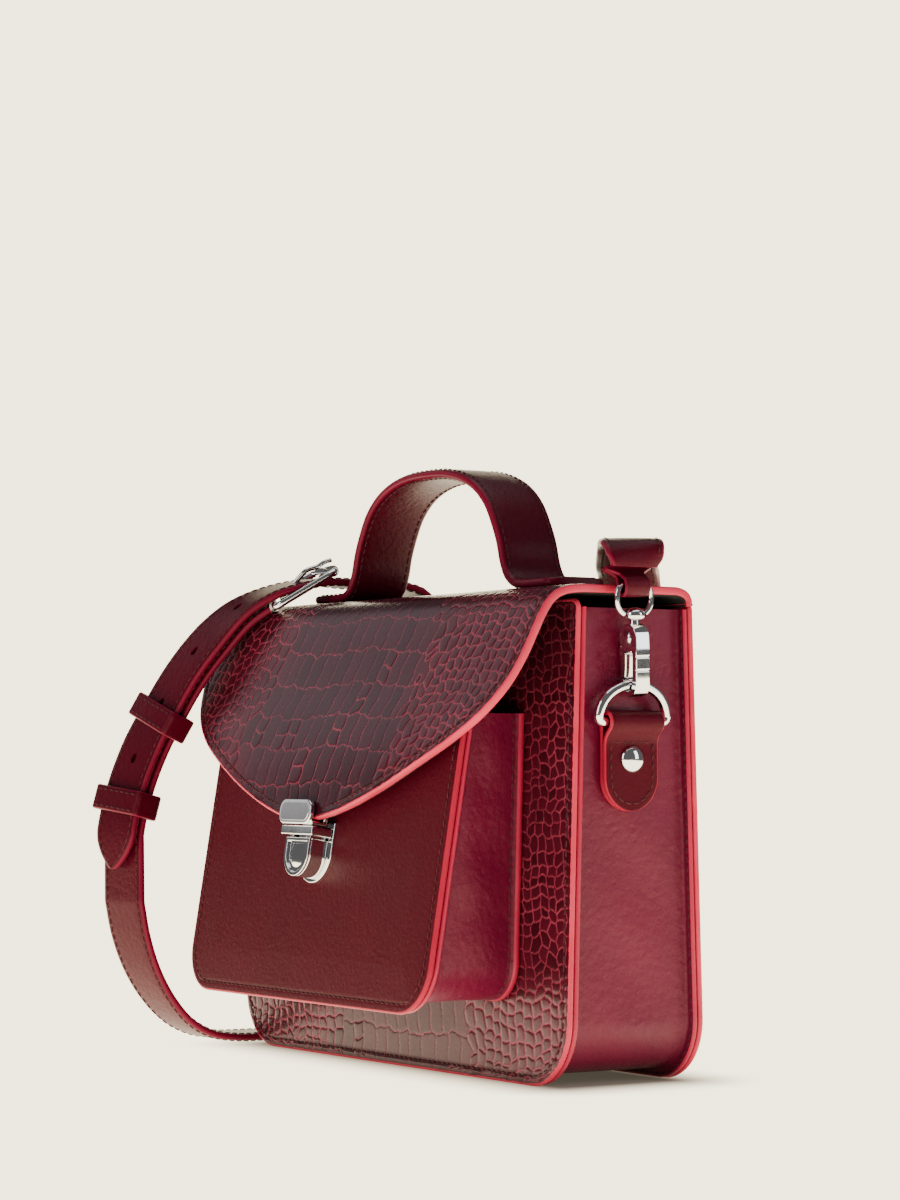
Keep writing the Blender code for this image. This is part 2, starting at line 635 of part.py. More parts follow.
def hook(tag, s, base, along, parent):
    """A swivel hook. base is the middle of the ring wire it holds; along runs from there to its eye."""
    d = Vector(along).normalized()
    es = Vector((s, 0, 0))
    es = (es - d * es.dot(d)).normalized()
    ey = Vector((0, 1, 0))
    ey = (ey - d * ey.dot(d) - es * ey.dot(es)).normalized()
    B = Vector(base)

    def at(x, z, y=0.0):
        return B + es * x + d * z + ey * y

    pivot("hook_" + tag, at(0, 0), parent)

    def plate(name, outline, half_y, on, cuts=()):
        n = len(outline)
        verts = [at(x, z, -half_y) for x, z in outline] + [at(x, z, half_y) for x, z in outline]
        faces = [list(range(n)), list(range(2 * n - 1, n - 1, -1))]
        faces += [[i, (i + 1) % n, n + (i + 1) % n, n + i] for i in range(n)]
        return make(name, verts, faces, "metal", on=on, cuts=cuts, smooth=30.0)

    # body: bend under the ring wire, spine outside it, round head with the post of the swivel
    out = [(-3.9, 1.5), (-4.0, -0.4), (-3.4, -2.1), (-2.0, -3.4), (0.0, -3.9), (2.2, -3.5), (3.7, -2.4), (4.5, -0.8), (4.6, 2.0), (4.6, 10.8)]
    head = []
    for k in range(11):
        a = math.radians(10 + 158.0 * k / 10)
        head.append((4.4 * math.cos(a), 14.4 + 4.4 * math.sin(a)))
    low = []
    for k in range(5):
        a = math.radians(185 + 110.0 * k / 4)
        low.append((4.4 * math.cos(a), 14.4 + 4.4 * math.sin(a)))
    inn = [(2.4, 9.2), (2.3, 0.0), (1.6, -1.4), (0.2, -2.1), (-1.2, -1.8), (-2.1, -0.6), (-2.2, 1.5)]
    pin_cut = cutter("pin_hole_" + tag, at(0, 14.4), ey, 1.35, 4.0, sides=12)
    post = [(1.5, 18.6), (1.5, 19.7), (-1.5, 19.7), (-1.5, 18.6)]
    outline_h = out + head[:5] + [p for p in post] + head[6:] + low + inn
    plate("hook_body_" + tag, outline_h, 2.6, "hook_" + tag, cuts=[pin_cut])
    turned("gate_pin_" + tag, at(0, 14.4), ey, [(-3.3, 0), (-3.3, 1.5), (-2.95, 2.1), (-2.9, 1.0), (2.9, 1.0), (2.95, 2.1), (3.3, 1.5), (3.3, 0)],
           "metal", sides=12, on="hook_" + tag)
    # gate, turning about the pin's axis
    pivot("gate_" + tag, at(0, 14.4), "hook_" + tag)
    gate = [(-4.3, 1.85), (-2.0, 1.85), (-1.7, 5.0), (-1.6, 9.6), (-2.6, 10.3), (-3.6, 11.1), (-4.6, 12.4), (-5.3, 11.2), (-4.8, 8.0), (-4.4, 5.0)]
    plate("hook_gate_" + tag, gate, 2.2, "gate_" + tag)
    # eye: a collar on the post, and the ring through which the strap's tongue passes
    pivot("eye_" + tag, at(0, 20.0), "hook_" + tag)
    turned("hook_collar_" + tag, at(0, 0), d, [(20.05, 0), (20.05, 2.4), (20.6, 3.2), (22.2, 3.4), (23.2, 2.8), (23.8, 1.4), (23.9, 0)],
           "metal", on="eye_" + tag)
    eye = []
    for k in range(25):
        a = math.radians(38 + 284.0 * k / 24)
        c, sn = -math.cos(a), math.sin(a)
        flat = 0.62 if c > 0 else 1.0          # the far side is squared off to hold the tongue
        eye.append(at(0, EYE_C + EYE_RZ * math.copysign(abs(c) ** flat, c), EYE_RY * math.copysign(abs(sn) ** flat, sn)))
    tube("hook_eye_" + tag, eye, EYE_WIRE, "metal", sides=8, up=es, on="eye_" + tag)
    # the strap's tongue, doubled round the far side of the eye
    E = EYE_C + EYE_RZ
    lane = [(-3.3, E + 5.4), (-2.95, E + 4.4), (-1.9, E + 3.4), (-0.2, E + 2.4), (1.2, E + 1.6), (2.1, E - 0.2), (2.0, E - 1.8), (1.0, E - 3.2),
            (-0.6, E - 3.4), (-1.8, E - 2.4), (-2.3, E - 0.6), (-2.9, E + 1.2), (-3.9, E + 3.2), (-4.9, E + 4.8)]
    P = [at(x, z) for x, z in lane]

    def narrow(sv, total):
        e = min(sv, total - sv)
        return 9.4 + 8.0 * max(0.0, 1.0 - max(e - 1.0, 0.0) / 2.6)

    ribbon("strap_tongue_" + tag, P, [ey] * len(P), narrow, 1.3, "strap")
    return at


tr, tl = RING_TILT["right"], RING_TILT["left"]
top = 10.7 + 0.95
AR = hook("right", 1, (RING_X + top * math.sin(tr), RING_Y, RING_Z + top * math.cos(tr)), (0.065, -0.05, 1.0), "ring_right")
AL = hook("left", -1, (-RING_X - top * math.sin(tl), RING_Y, RING_Z - top * math.cos(tl)), (-0.01, 0.0, -1.0), "ring_left")

# ---------------------------------------------------------------- shoulder strap
# long strap: from the right hook, over the back corner, round behind the bag on the floor, up over the flap to its tip
s0 = AR(0.2, EYE_C + EYE_RZ + 5.4)
LONG = [tuple(s0),
    (104.3, -3.6, 161.6), (103.6, -3.3, 164.2), (101.6, -2.4, 166.3), (98.2, -0.4, 167.6), (93.6, 2.4, 168.0), (88.2, 6.0, 167.4), (82.5, 9.8, 165.8), (75.0, 14.8, 164.0), (68.5, 19.4, 162.0),
    (62.0, 24.8, 160.4), (56.2, 29.6, 156.6), (52.2, 33.6, 149.2), (49.8, 35.4, 136.0), (48.0, 36.0, 118.0), (46.5, 38.0, 95.0), (44.0, 41.5, 70.0),
    (39.5, 47.5, 46.0), (31.5, 57.0, 28.0), (18.5, 69.5, 16.6), (1.0, 84.0, 11.6),
    (-20.0, 99.0, 10.6), (-42.0, 111.5, 10.6), (-65.0, 117.0, 10.6), (-86.0, 112.0, 10.6), (-98.0, 98.0, 11.0),
    (-98.5, 81.5, 13.5), (-90.0, 66.5, 20.0), (-79.5, 54.5, 32.0), (-71.0, 45.5, 50.0), (-65.0, 39.0, 75.0),
    (-61.8, 34.5, 100.0), (-60.6, 31.0, 124.0), (-60.4, 28.4, 142.0), (-60.8, 25.6, 153.0), (-62.0, 20.5, 159.2),
    (-63.6, 13.0, 161.4), (-65.4, 5.0, 161.9), (-67.5, -4.0, 162.2), (-69.5, -12.0, 162.6), (-72.5, -20.5, 161.4), (-77.0, -29.6, 158.5),
    (-83.2, -38.6, 152.6), (-90.0, -46.4, 143.0), (-96.2, -53.0, 131.8), (-101.2, -59.2, 118.6), (-105.0, -65.2, 104.8),
    (-107.2, -70.0, 90.4), (-108.0, -73.2, 76.0), (-108.2, -74.4, 62.0)]
long_path = smooth_path(LONG, per=3)
R1 = (0.545, 0.839, 0.0)


def keyed_at(path, keys):
    """Width directions along a path, blended between keys (point on the path, direction)."""
    at, where = [], 0
    for p, d in keys:
        where = min(range(where, len(path)), key=lambda i: (path[i] - Vector(p)).length)
        at.append((where, Vector(d).normalized()))
    out = []
    for i in range(len(path)):
        if i <= at[0][0]:
            out.append(at[0][1].copy())
        elif i >= at[-1][0]:
            out.append(at[-1][1].copy())
        else:
            for (i0, d0), (i1, d1) in zip(at, at[1:]):
                if i0 <= i < i1:
                    out.append(d0.slerp(d1, (i - i0) / (i1 - i0)) if (d0 - d1).length > 1e-4 else d0.copy())
                    break
    return out


long_wides = keyed_at(long_path, [
    (LONG[0], (0.0, 1.0, 0.0)), (LONG[1], (0.02, 1.0, 0.0)), (LONG[2], (0.12, 0.99, 0.0)), ((101.6, -2.4, 166.3), (0.27, 0.96, 0.0)), ((98.2, -0.4, 167.6), (0.45, 0.89, 0.0)), ((93.6, 2.4, 168.0), R1), ((48.0, 36.0, 118.0), R1), ((44.0, 41.5, 70.0), (-0.15, 1.0, 0.05)),
    ((39.5, 47.5, 46.0), (-0.35, 0.85, 0.30)), ((31.5, 57.0, 28.0), (-0.45, 0.50, 0.75)), ((18.5, 69.5, 16.6), (-0.20, 0.20, 1.0)),
    ((1.0, 84.0, 11.6), (0.0, 0.0, 1.0)), ((-98.0, 98.0, 11.0), (0.0, 0.0, 1.0)), ((-98.5, 81.5, 13.5), (-0.05, 0.20, 1.0)),
    ((-90.0, 66.5, 20.0), (-0.30, 0.50, 0.85)), ((-79.5, 54.5, 32.0), (-0.52, 0.65, 0.55)), ((-71.0, 45.5, 50.0), (-0.68, 0.70, 0.20)),
    ((-65.0, 39.0, 75.0), (-0.85, 0.52, 0.0)), ((-61.8, 34.5, 100.0), (-0.95, 0.25, 0.0)), ((-60.6, 31.0, 124.0), (-0.985, 0.10, 0.0)),
    ((-67.5, -4.0, 162.2), (-0.985, 0.15, 0.0)), ((-77.0, -29.6, 158.5), (-0.975, 0.18, 0.10)), ((-90.0, -46.4, 143.0), (-0.96, -0.05, 0.20)),
    ((-105.0, -65.2, 104.8), (-0.97, -0.22, 0.05)), (LONG[-1], (-0.972, -0.235, 0.0))])


def frame_at(path, wides, i):
    n = len(path)
    t = (path[min(i + 1, n - 1)] - path[max(i - 1, 0)]).normalized()
    w = (wides[i] - t * wides[i].dot(t)).normalized()
    return t, w, t.cross(w).normalized()


def tip_width(s, total):
    e = total - s
    if e < 14.0:
        return STRAP_W * (0.30 + 0.70 * math.sin(math.pi / 2 * e / 14.0))
    return STRAP_W


# buckle: roller over the long strap, loop bar under it
ib = min(range(len(long_path) * 2 // 3, len(long_path)), key=lambda i: abs(long_path[i].y + 20.5))


def along(i, dist):
    """The index a distance further along the path."""
    step = 1 if dist > 0 else -1
    run = 0.0
    while run < abs(dist):
        run += (long_path[i + step] - long_path[i]).length
        i += step
    return i


i_roll, i_loop = along(ib, -10.0), along(ib, 10.5)
t_r, w_r, q_r = frame_at(long_path, long_wides, i_roll)
t_l, w_l, q_l = frame_at(long_path, long_wides, i_loop)
if q_r.z < 0:
    q_r = -q_r
if q_l.z < 0:
    q_l = -q_l
roll_c = long_path[i_roll] + q_r * (STRAP_T / 2 + 0.4 + 1.9)
loop_c = long_path[i_loop] - q_l * (STRAP_T / 2 + 0.4 + 1.15)
wb = (w_r + w_l).normalized()
pivot("buckle_prong_axis", loop_c, "flap_hinge")
pivot("roller_axis", roll_c, "flap_hinge")
BW = STRAP_W / 2 + 1.85 + 1.15
along_b = (roll_c - loop_c).normalized()
up_b = along_b.cross(wb)
if up_b.z < 0:
    up_b = -up_b
loop = []
L_b = (roll_c - loop_c).length
for cx, cy in rounded(BW, L_b / 2, 2.6, steps=4):
    share = (L_b / 2 + cy) / L_b
    loop.append(loop_c + along_b * (L_b / 2 + cy) + (w_l * (1 - share) + w_r * share).normalized() * cx)
tube("buckle_frame", loop, 1.1, "metal", sides=8, closed=True, up=up_b, on="flap_hinge")


def sleeve(name, c, axis, r_in, r_out, half, on, sides=14):
    ax = Vector(axis).normalized()
    a = ax.orthogonal().normalized()
    b = ax.cross(a)
    verts, faces = [], []
    for h in (-half, half):
        for r in (r_in, r_out):
            for k in range(sides):
                t = 2 * math.pi * k / sides
                verts.append(Vector(c) + ax * h + (a * math.cos(t) + b * math.sin(t)) * r)
    I0, O0, I1, O1 = 0, sides, 2 * sides, 3 * sides
    for k in range(sides):
        j = (k + 1) % sides
        faces += [[O0 + k, O0 + j, O1 + j, O1 + k], [I0 + j, I0 + k, I1 + k, I1 + j],
                  [I0 + k, I0 + j, O0 + j, O0 + k], [I1 + j, I1 + k, O1 + k, O1 + j]]
    return make(name, verts, faces, "metal", on=on, smooth=35.0)


sleeve("buckle_roller", roll_c, w_r, 1.5, 2.05, 9.2, "roller_axis")

up_q = (q_r + q_l).normalized()


def mid(tt, qq):
    return long_path[ib] - (along_b - up_q * along_b.dot(up_q)).normalized() * (-tt) + up_q * qq


prong_pts = [loop_c + along_b * 2.9 - up_q * 0.2, mid(-5.2, -2.7), mid(-3.4, -1.4), mid(-1.6, 0.6), mid(0.6, 2.6), mid(3.6, 4.6),
             roll_c + up_q * 3.35 - along_b * 3.0, roll_c + up_q * 3.45 + along_b * 0.2, roll_c + up_q * 3.0 + along_b * 2.6]
tube("buckle_prong", smooth_path(prong_pts, per=2), 0.95, "metal", sides=8, up=wb, on="buckle_prong_axis")
slot = make("prong_slot", [mid(t, q) + wb * x for q in (-4.0, 4.0) for t, x in
                           ((-7.0, -1.2), (-5.8, -1.7), (1.2, -1.7), (2.4, -1.2), (2.4, 1.2), (1.2, 1.7), (-5.8, 1.7), (-7.0, 1.2))],
            [list(range(8)), list(range(15, 7, -1))] + [[i, (i + 1) % 8, 8 + (i + 1) % 8, 8 + i] for i in range(8)], "metal")
slot.hide_render = True
slot.display_type = "WIRE"
ribbon("strap_long", long_path, long_wides, tip_width, STRAP_T, "strap", cuts=[slot])

# short strap: from the left hook down to the floor, forward, up under the long strap to the buckle's loop bar
PITCH = STRAP_T + 0.8
under, under_w = [], []
for i in range(len(long_path) - 3, i_loop, -1):
    t, w, q = frame_at(long_path, long_wides, i)
    if q.dot(Vector((0.3, 1.0, -0.6))) < 0:
        q = -q
    under.append(long_path[i] + q * PITCH)
    under_w.append(w)
s2, s3 = AL(0.0, EYE_C + EYE_RZ + 5.2), AL(0.0, EYE_C + EYE_RZ + 8.0)
SHORT = [tuple(s2), tuple(s3),
    (-107.6, -0.9, 48.0), (-107.8, 1.0, 36.0), (-108.0, 3.6, 24.0), (-108.0, 6.0, 13.5), (-108.0, 5.4, 6.0),
    (-108.0, 0.0, 2.4), (-108.0, -8.5, 1.75), (-108.0, -19.0, 1.75), (-108.0, -29.5, 2.0), (-108.0, -39.5, 3.6),
    (-108.0, -48.6, 8.2), (-108.0, -56.4, 16.0), (-108.0, -63.0, 26.5), (-107.9, -67.6, 38.5), (-107.8, -70.2, 50.5)]
low_path = smooth_path(SHORT, per=3)
low_w = keyed(low_path, [(0.0, (0.0, 1.0, 0.0)), (0.12, (-0.35, 0.93, 0.0)), (0.40, (-0.985, 0.10, 0.0)), (1.0, (-0.972, -0.235, 0.0))])
short_path = low_path + under[1:]
short_wides = low_w + [w if w.x < 0 else -w for w in under_w[1:]]
ribbon("strap_short", short_path, short_wides, STRAP_W, STRAP_T, "strap")


# two leather keepers round both straps
def keeper(name, i):
    t, w, q = frame_at(long_path, long_wides, i)
    if q.dot(Vector((0.3, 1.0, -0.6))) < 0:
        q = -q
    c = long_path[i] + q * (PITCH / 2)
    hw, hq, th, hh = STRAP_W / 2 + 0.8, (STRAP_T + PITCH) / 2 + 0.9, 1.5, 4.4
    ring_o, ring_i = rounded(hw + th, hq + th, 1.6, steps=2), rounded(hw, hq, 0.5, steps=2)
    n = len(ring_o)
    verts = []
    for h in (-hh, hh):
        verts += [c + t * h + w * x + q * y for x, y in ring_o]
        verts += [c + t * h + w * x + q * y for x, y in ring_i]
    faces = []
    for k in range(n):
        j = (k + 1) % n
        faces += [[k, j, 2 * n + j, 2 * n + k], [n + j, n + k, 3 * n + k, 3 * n + j], [k, n + k, n + j, j], [2 * n + k, 2 * n + j, 3 * n + j, 3 * n + k]]
    return make(name, verts, faces, "strap")


def nearest(z):
    return min(range(len(long_path) * 3 // 4, len(long_path)), key=lambda i: abs(long_path[i].z - z) + (0 if long_path[i].y < -30 else 99))


keeper("keeper_upper", nearest(115.0))
keeper("keeper_lower", nearest(85.0))

for nm, p in (("strap_long", long_path), ("strap_short", short_path)):
    print(nm, "length", round(length_of(p), 1))
print("buckle at", [round(v, 1) for v in long_path[ib]], "hook to hook about",
      round(length_of(short_path) + length_of(long_path) - length_of(long_path[ib:]) + 2 * (EYE_C + EYE_RZ + 3.6), 1))
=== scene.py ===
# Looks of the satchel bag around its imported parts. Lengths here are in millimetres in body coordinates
# (X right, front towards -Y, Z up, Y = 0 in the middle of the bag body); mesh() turns them into the row frame.
import bpy
import bmesh
import math
import numpy as np
from mathutils import Vector, Matrix


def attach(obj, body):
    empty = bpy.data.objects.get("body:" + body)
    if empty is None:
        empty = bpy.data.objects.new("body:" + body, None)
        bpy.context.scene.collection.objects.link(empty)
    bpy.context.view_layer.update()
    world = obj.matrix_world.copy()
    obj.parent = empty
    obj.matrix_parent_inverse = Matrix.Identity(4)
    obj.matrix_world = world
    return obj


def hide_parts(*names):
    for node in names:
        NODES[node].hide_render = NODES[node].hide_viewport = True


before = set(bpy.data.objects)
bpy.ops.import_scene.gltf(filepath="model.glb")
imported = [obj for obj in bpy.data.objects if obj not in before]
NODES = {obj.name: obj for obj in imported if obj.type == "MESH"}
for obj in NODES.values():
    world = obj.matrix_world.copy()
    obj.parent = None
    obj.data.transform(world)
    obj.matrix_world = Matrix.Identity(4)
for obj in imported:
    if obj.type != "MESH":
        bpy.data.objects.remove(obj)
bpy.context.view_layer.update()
OX, OY = 2.42, 19.18
SC = bpy.context.scene


# ---------------------------------------------------------------- camera
az, dist, height, pitch, head = math.radians(57.01), 1.07299, 0.10192, math.radians(2.77), math.radians(57.19)
cam = bpy.data.cameras.new("camera")
cam.lens = 96.0
cam.sensor_width = 36.0
cam.clip_start = 0.02
cam.clip_end = 50.0
cam.dof.use_dof = False
cob = bpy.data.objects.new("camera", cam)
SC.collection.objects.link(cob)
cob.location = (math.sin(az) * dist + OX * 0.001, -math.cos(az) * dist + OY * 0.001, height)
fwd = Vector((-math.sin(head) * math.cos(pitch), math.cos(head) * math.cos(pitch), math.sin(pitch)))
cob.rotation_euler = fwd.to_track_quat("-Z", "Y").to_euler()
SC.camera = cob

# ---------------------------------------------------------------- dimensions (mm)
WIDTH, DEPTH, HEIGHT, CORNER = 200.0, 52.5, 149.75, 20.4
LEAN_FRONT, LEAN_BACK = 4.1, 4.25
PANEL_T, SEAM, FLANGE_T, GUSSET_T, GUSSET_TOP, GAP = 1.8, 3.5, 1.7, 1.5, 147.3, 0.35
POCKET_W, POCKET_Z, POCKET_TOP, POCKET_D0, POCKET_TAPER, POCKET_R, POCKET_T, POCKET_SEAM = 152.0, 22.3, 115.0, 37.3, 11.8 / 85.0, 15.0, 2.0, 3.2
FLAP_T, FLAP_TOP = 1.6, 154.3
HANDLE_W, HANDLE_T, HANDLE_Y = 23.0, 3.4, -3.0
STRAP_W, STRAP_T = 20.0, 2.8
RING_WIRE, RING_Z, RING_X, RING_Y = 3.2, 112.0, 100.3, -1.8
TAB_W, TAB_T, RIVET_Z = 20.4, 1.4, 100.6
PITCH = STRAP_T + 0.8


def front_y(z):
    return -DEPTH / 2 + LEAN_FRONT * z / HEIGHT


def back_y(z):
    return DEPTH / 2 - LEAN_BACK * z / HEIGHT


def pocket_y(z):
    return front_y(z) - POCKET_D0 + POCKET_TAPER * (z - POCKET_Z)


# ---------------------------------------------------------------- materials
def nodes_of(m):
    m.use_nodes = True
    nt = m.node_tree
    return nt, nt.nodes["Principled BSDF"]


def noise(nt, scale, detail=3.0, rough=0.5, vec=None):
    n = nt.nodes.new("ShaderNodeTexNoise")
    n.inputs["Scale"].default_value = scale
    n.inputs["Detail"].default_value = detail
    n.inputs["Roughness"].default_value = rough
    if vec is not None:
        nt.links.new(vec, n.inputs["Vector"])
    return n


def ramp(nt, a, b, ca, cb, src):
    r = nt.nodes.new("ShaderNodeValToRGB")
    r.color_ramp.elements[0].position = a
    r.color_ramp.elements[1].position = b
    r.color_ramp.elements[0].color = (*ca, 1) if not isinstance(ca, float) else (ca, ca, ca, 1)
    r.color_ramp.elements[1].color = (*cb, 1) if not isinstance(cb, float) else (cb, cb, cb, 1)
    nt.links.new(src, r.inputs["Fac"])
    return r


def mix(nt, a, b, fac):
    m = nt.nodes.new("ShaderNodeMix")
    m.data_type = "RGBA"
    nt.links.new(fac, m.inputs[0])
    nt.links.new(a, m.inputs[6])
    nt.links.new(b, m.inputs[7])
    return m.outputs[2]


def coords(nt):
    t = nt.nodes.new("ShaderNodeTexCoord")
    return t.outputs["Object"]


def rgb(nt, c):
    n = nt.nodes.new("ShaderNodeRGB")
    n.outputs[0].default_value = (*c, 1)
    return n.outputs[0]


def attr(nt, name):
    a = nt.nodes.new("ShaderNodeAttribute")
    a.attribute_name = name
    return a.outputs["Fac"]


def leather(name, base, dark, edge, rough=0.42, grain=900.0, depth=0.18, coat=0.03, spec=0.45, pebble=0.5):
    """Fine-grained leather; where the mesh attribute edge is 1 it is edge paint."""
    m = bpy.data.materials.new(name)
    nt, b = nodes_of(m)
    co = coords(nt)
    big = noise(nt, 22.0, 4.0, 0.6, co)
    fine = noise(nt, grain, 3.0, 0.6, co)
    v = nt.nodes.new("ShaderNodeTexVoronoi")
    v.inputs["Scale"].default_value = grain * pebble
    v.feature = "SMOOTH_F1"
    nt.links.new(co, v.inputs["Vector"])
    col = ramp(nt, 0.3, 0.7, dark, base, big.outputs["Fac"])
    e = ramp(nt, 0.4, 0.6, 0.0, 1.0, attr(nt, "edge"))
    ecol = ramp(nt, 0.35, 0.7, tuple(c * 0.82 for c in edge), edge, noise(nt, 60.0, 2.0, 0.5, co).outputs["Fac"])
    nt.links.new(mix(nt, col.outputs["Color"], ecol.outputs["Color"], e.outputs["Color"]), b.inputs["Base Color"])
    r = ramp(nt, 0.3, 0.75, rough - 0.07, rough + 0.08, fine.outputs["Fac"])
    r2 = nt.nodes.new("ShaderNodeMix")
    nt.links.new(e.outputs["Color"], r2.inputs[0])
    nt.links.new(r.outputs["Color"], r2.inputs[2])
    r2.inputs[3].default_value = 0.30
    nt.links.new(r2.outputs[0], b.inputs["Roughness"])
    add = nt.nodes.new("ShaderNodeMath")
    add.operation = "ADD"
    nt.links.new(v.outputs["Distance"], add.inputs[0])
    nt.links.new(fine.outputs["Fac"], add.inputs[1])
    inv = nt.nodes.new("ShaderNodeMath")
    inv.operation = "SUBTRACT"
    inv.inputs[0].default_value = 1.0
    nt.links.new(e.outputs["Color"], inv.inputs[1])
    mul = nt.nodes.new("ShaderNodeMath")
    mul.operation = "MULTIPLY"
    nt.links.new(inv.outputs[0], mul.inputs[0])
    mul.inputs[1].default_value = depth
    bump = nt.nodes.new("ShaderNodeBump")
    bump.inputs["Distance"].default_value = 0.0004
    nt.links.new(mul.outputs[0], bump.inputs["Strength"])
    nt.links.new(add.outputs[0], bump.inputs["Height"])
    nt.links.new(bump.outputs["Normal"], b.inputs["Normal"])
    b.inputs["Coat Weight"].default_value = coat
    b.inputs["Coat Roughness"].default_value = 0.25
    b.inputs["Specular IOR Level"].default_value = spec
    b.inputs["Specular Tint"].default_value = (1.0, 0.62, 0.68, 1)
    return m


RED_EDGE = (0.38, 0.014, 0.044)
M_SMOOTH = leather("pocket_leather", (0.060, 0.0009, 0.0080), (0.050, 0.0007, 0.0066), RED_EDGE, spec=0.10, rough=0.46, grain=1500.0, depth=0.22)
M_GUSSET = leather("gusset_leather", (0.116, 0.0027, 0.0250), (0.090, 0.0020, 0.0190), (0.40, 0.014, 0.055), spec=0.30, rough=0.36, grain=700.0, depth=0.42, coat=0.05)
M_STRAP = leather("strap_leather", (0.060, 0.0010, 0.0090), (0.048, 0.0008, 0.0072), (0.15, 0.0042, 0.024), spec=0.13, rough=0.40, grain=1100.0, depth=0.28)


def croc_material(name):
    m = bpy.data.materials.new(name)
    nt, b = nodes_of(m)
    co = coords(nt)
    tint = attr(nt, "tint")
    centre = ramp(nt, 0.0, 1.0, (0.020, 0.0030, 0.0065), (0.034, 0.0045, 0.0105), tint)
    sides = ramp(nt, 0.0, 1.0, (0.030, 0.0022, 0.006), (0.055, 0.0035, 0.011), tint)
    body = mix(nt, centre.outputs["Color"], sides.outputs["Color"], attr(nt, "side"))
    g = ramp(nt, 0.25, 0.85, 0.0, 1.0, attr(nt, "groove"))
    groove = ramp(nt, 0.3, 0.7, (0.24, 0.022, 0.052), (0.38, 0.050, 0.095), noise(nt, 45.0, 3.0, 0.6, co).outputs["Fac"])
    col = mix(nt, body, groove.outputs["Color"], g.outputs["Color"])
    e = ramp(nt, 0.4, 0.6, 0.0, 1.0, attr(nt, "edge"))
    ecol = ramp(nt, 0.35, 0.7, (0.50, 0.022, 0.060), (0.62, 0.035, 0.085), noise(nt, 60.0, 2.0, 0.5, co).outputs["Fac"])
    nt.links.new(mix(nt, col, ecol.outputs["Color"], e.outputs["Color"]), b.inputs["Base Color"])
    fine = noise(nt, 800.0, 2.0, 0.5, co)
    r = ramp(nt, 0.2, 0.8, 0.20, 0.27, fine.outputs["Fac"])
    r2 = nt.nodes.new("ShaderNodeMix")
    mx = nt.nodes.new("ShaderNodeMath")
    mx.operation = "MAXIMUM"
    nt.links.new(g.outputs["Color"], mx.inputs[0])
    nt.links.new(e.outputs["Color"], mx.inputs[1])
    nt.links.new(mx.outputs[0], r2.inputs[0])
    nt.links.new(r.outputs["Color"], r2.inputs[2])
    r2.inputs[3].default_value = 0.38
    nt.links.new(r2.outputs[0], b.inputs["Roughness"])
    bump = nt.nodes.new("ShaderNodeBump")
    bump.inputs["Distance"].default_value = 0.0002
    bump.inputs["Strength"].default_value = 0.10
    nt.links.new(fine.outputs["Fac"], bump.inputs["Height"])
    nt.links.new(bump.outputs["Normal"], b.inputs["Normal"])
    b.inputs["Coat Weight"].default_value = 0.03
    b.inputs["Coat Roughness"].default_value = 0.12
    b.inputs["Specular IOR Level"].default_value = 0.30
    b.inputs["Specular Tint"].default_value = (0.95, 0.45, 0.68, 1)
    return m


M_CROC = croc_material("croc_leather")


def metal(name, base, rough):
    m = bpy.data.materials.new(name)
    nt, b = nodes_of(m)
    n = noise(nt, 260.0, 3.0, 0.5, coords(nt))
    r = ramp(nt, 0.2, 0.9, rough, rough + 0.05, n.outputs["Fac"])
    nt.links.new(r.outputs["Color"], b.inputs["Roughness"])
    c = ramp(nt, 0.0, 1.0, tuple(x * 0.97 for x in base), base, n.outputs["Fac"])
    nt.links.new(c.outputs["Color"], b.inputs["Base Color"])
    b.inputs["Metallic"].default_value = 1.0
    return m


M_METAL = metal("chrome", (0.82, 0.82, 0.84), 0.05)
M_BRUSH = metal("chrome_soft", (0.72, 0.70, 0.73), 0.12)


def cloth(name, base):
    m = bpy.data.materials.new(name)
    nt, b = nodes_of(m)
    co = coords(nt)
    w = nt.nodes.new("ShaderNodeTexWave")
    w.inputs["Scale"].default_value = 900.0
    nt.links.new(co, w.inputs["Vector"])
    n = noise(nt, 500.0, 3.0, 0.6, co)
    c = ramp(nt, 0.2, 0.8, tuple(x * 0.7 for x in base), base, n.outputs["Fac"])
    nt.links.new(c.outputs["Color"], b.inputs["Base Color"])
    bump = nt.nodes.new("ShaderNodeBump")
    bump.inputs["Distance"].default_value = 0.0002
    bump.inputs["Strength"].default_value = 0.4
    nt.links.new(w.outputs["Fac"], bump.inputs["Height"])
    nt.links.new(bump.outputs["Normal"], b.inputs["Normal"])
    b.inputs["Roughness"].default_value = 0.9
    return m


M_LINING = cloth("black_lining", (0.010, 0.009, 0.010))
M_THREAD = cloth("thread", (0.060, 0.0035, 0.008))

# ---------------------------------------------------------------- mesh helpers


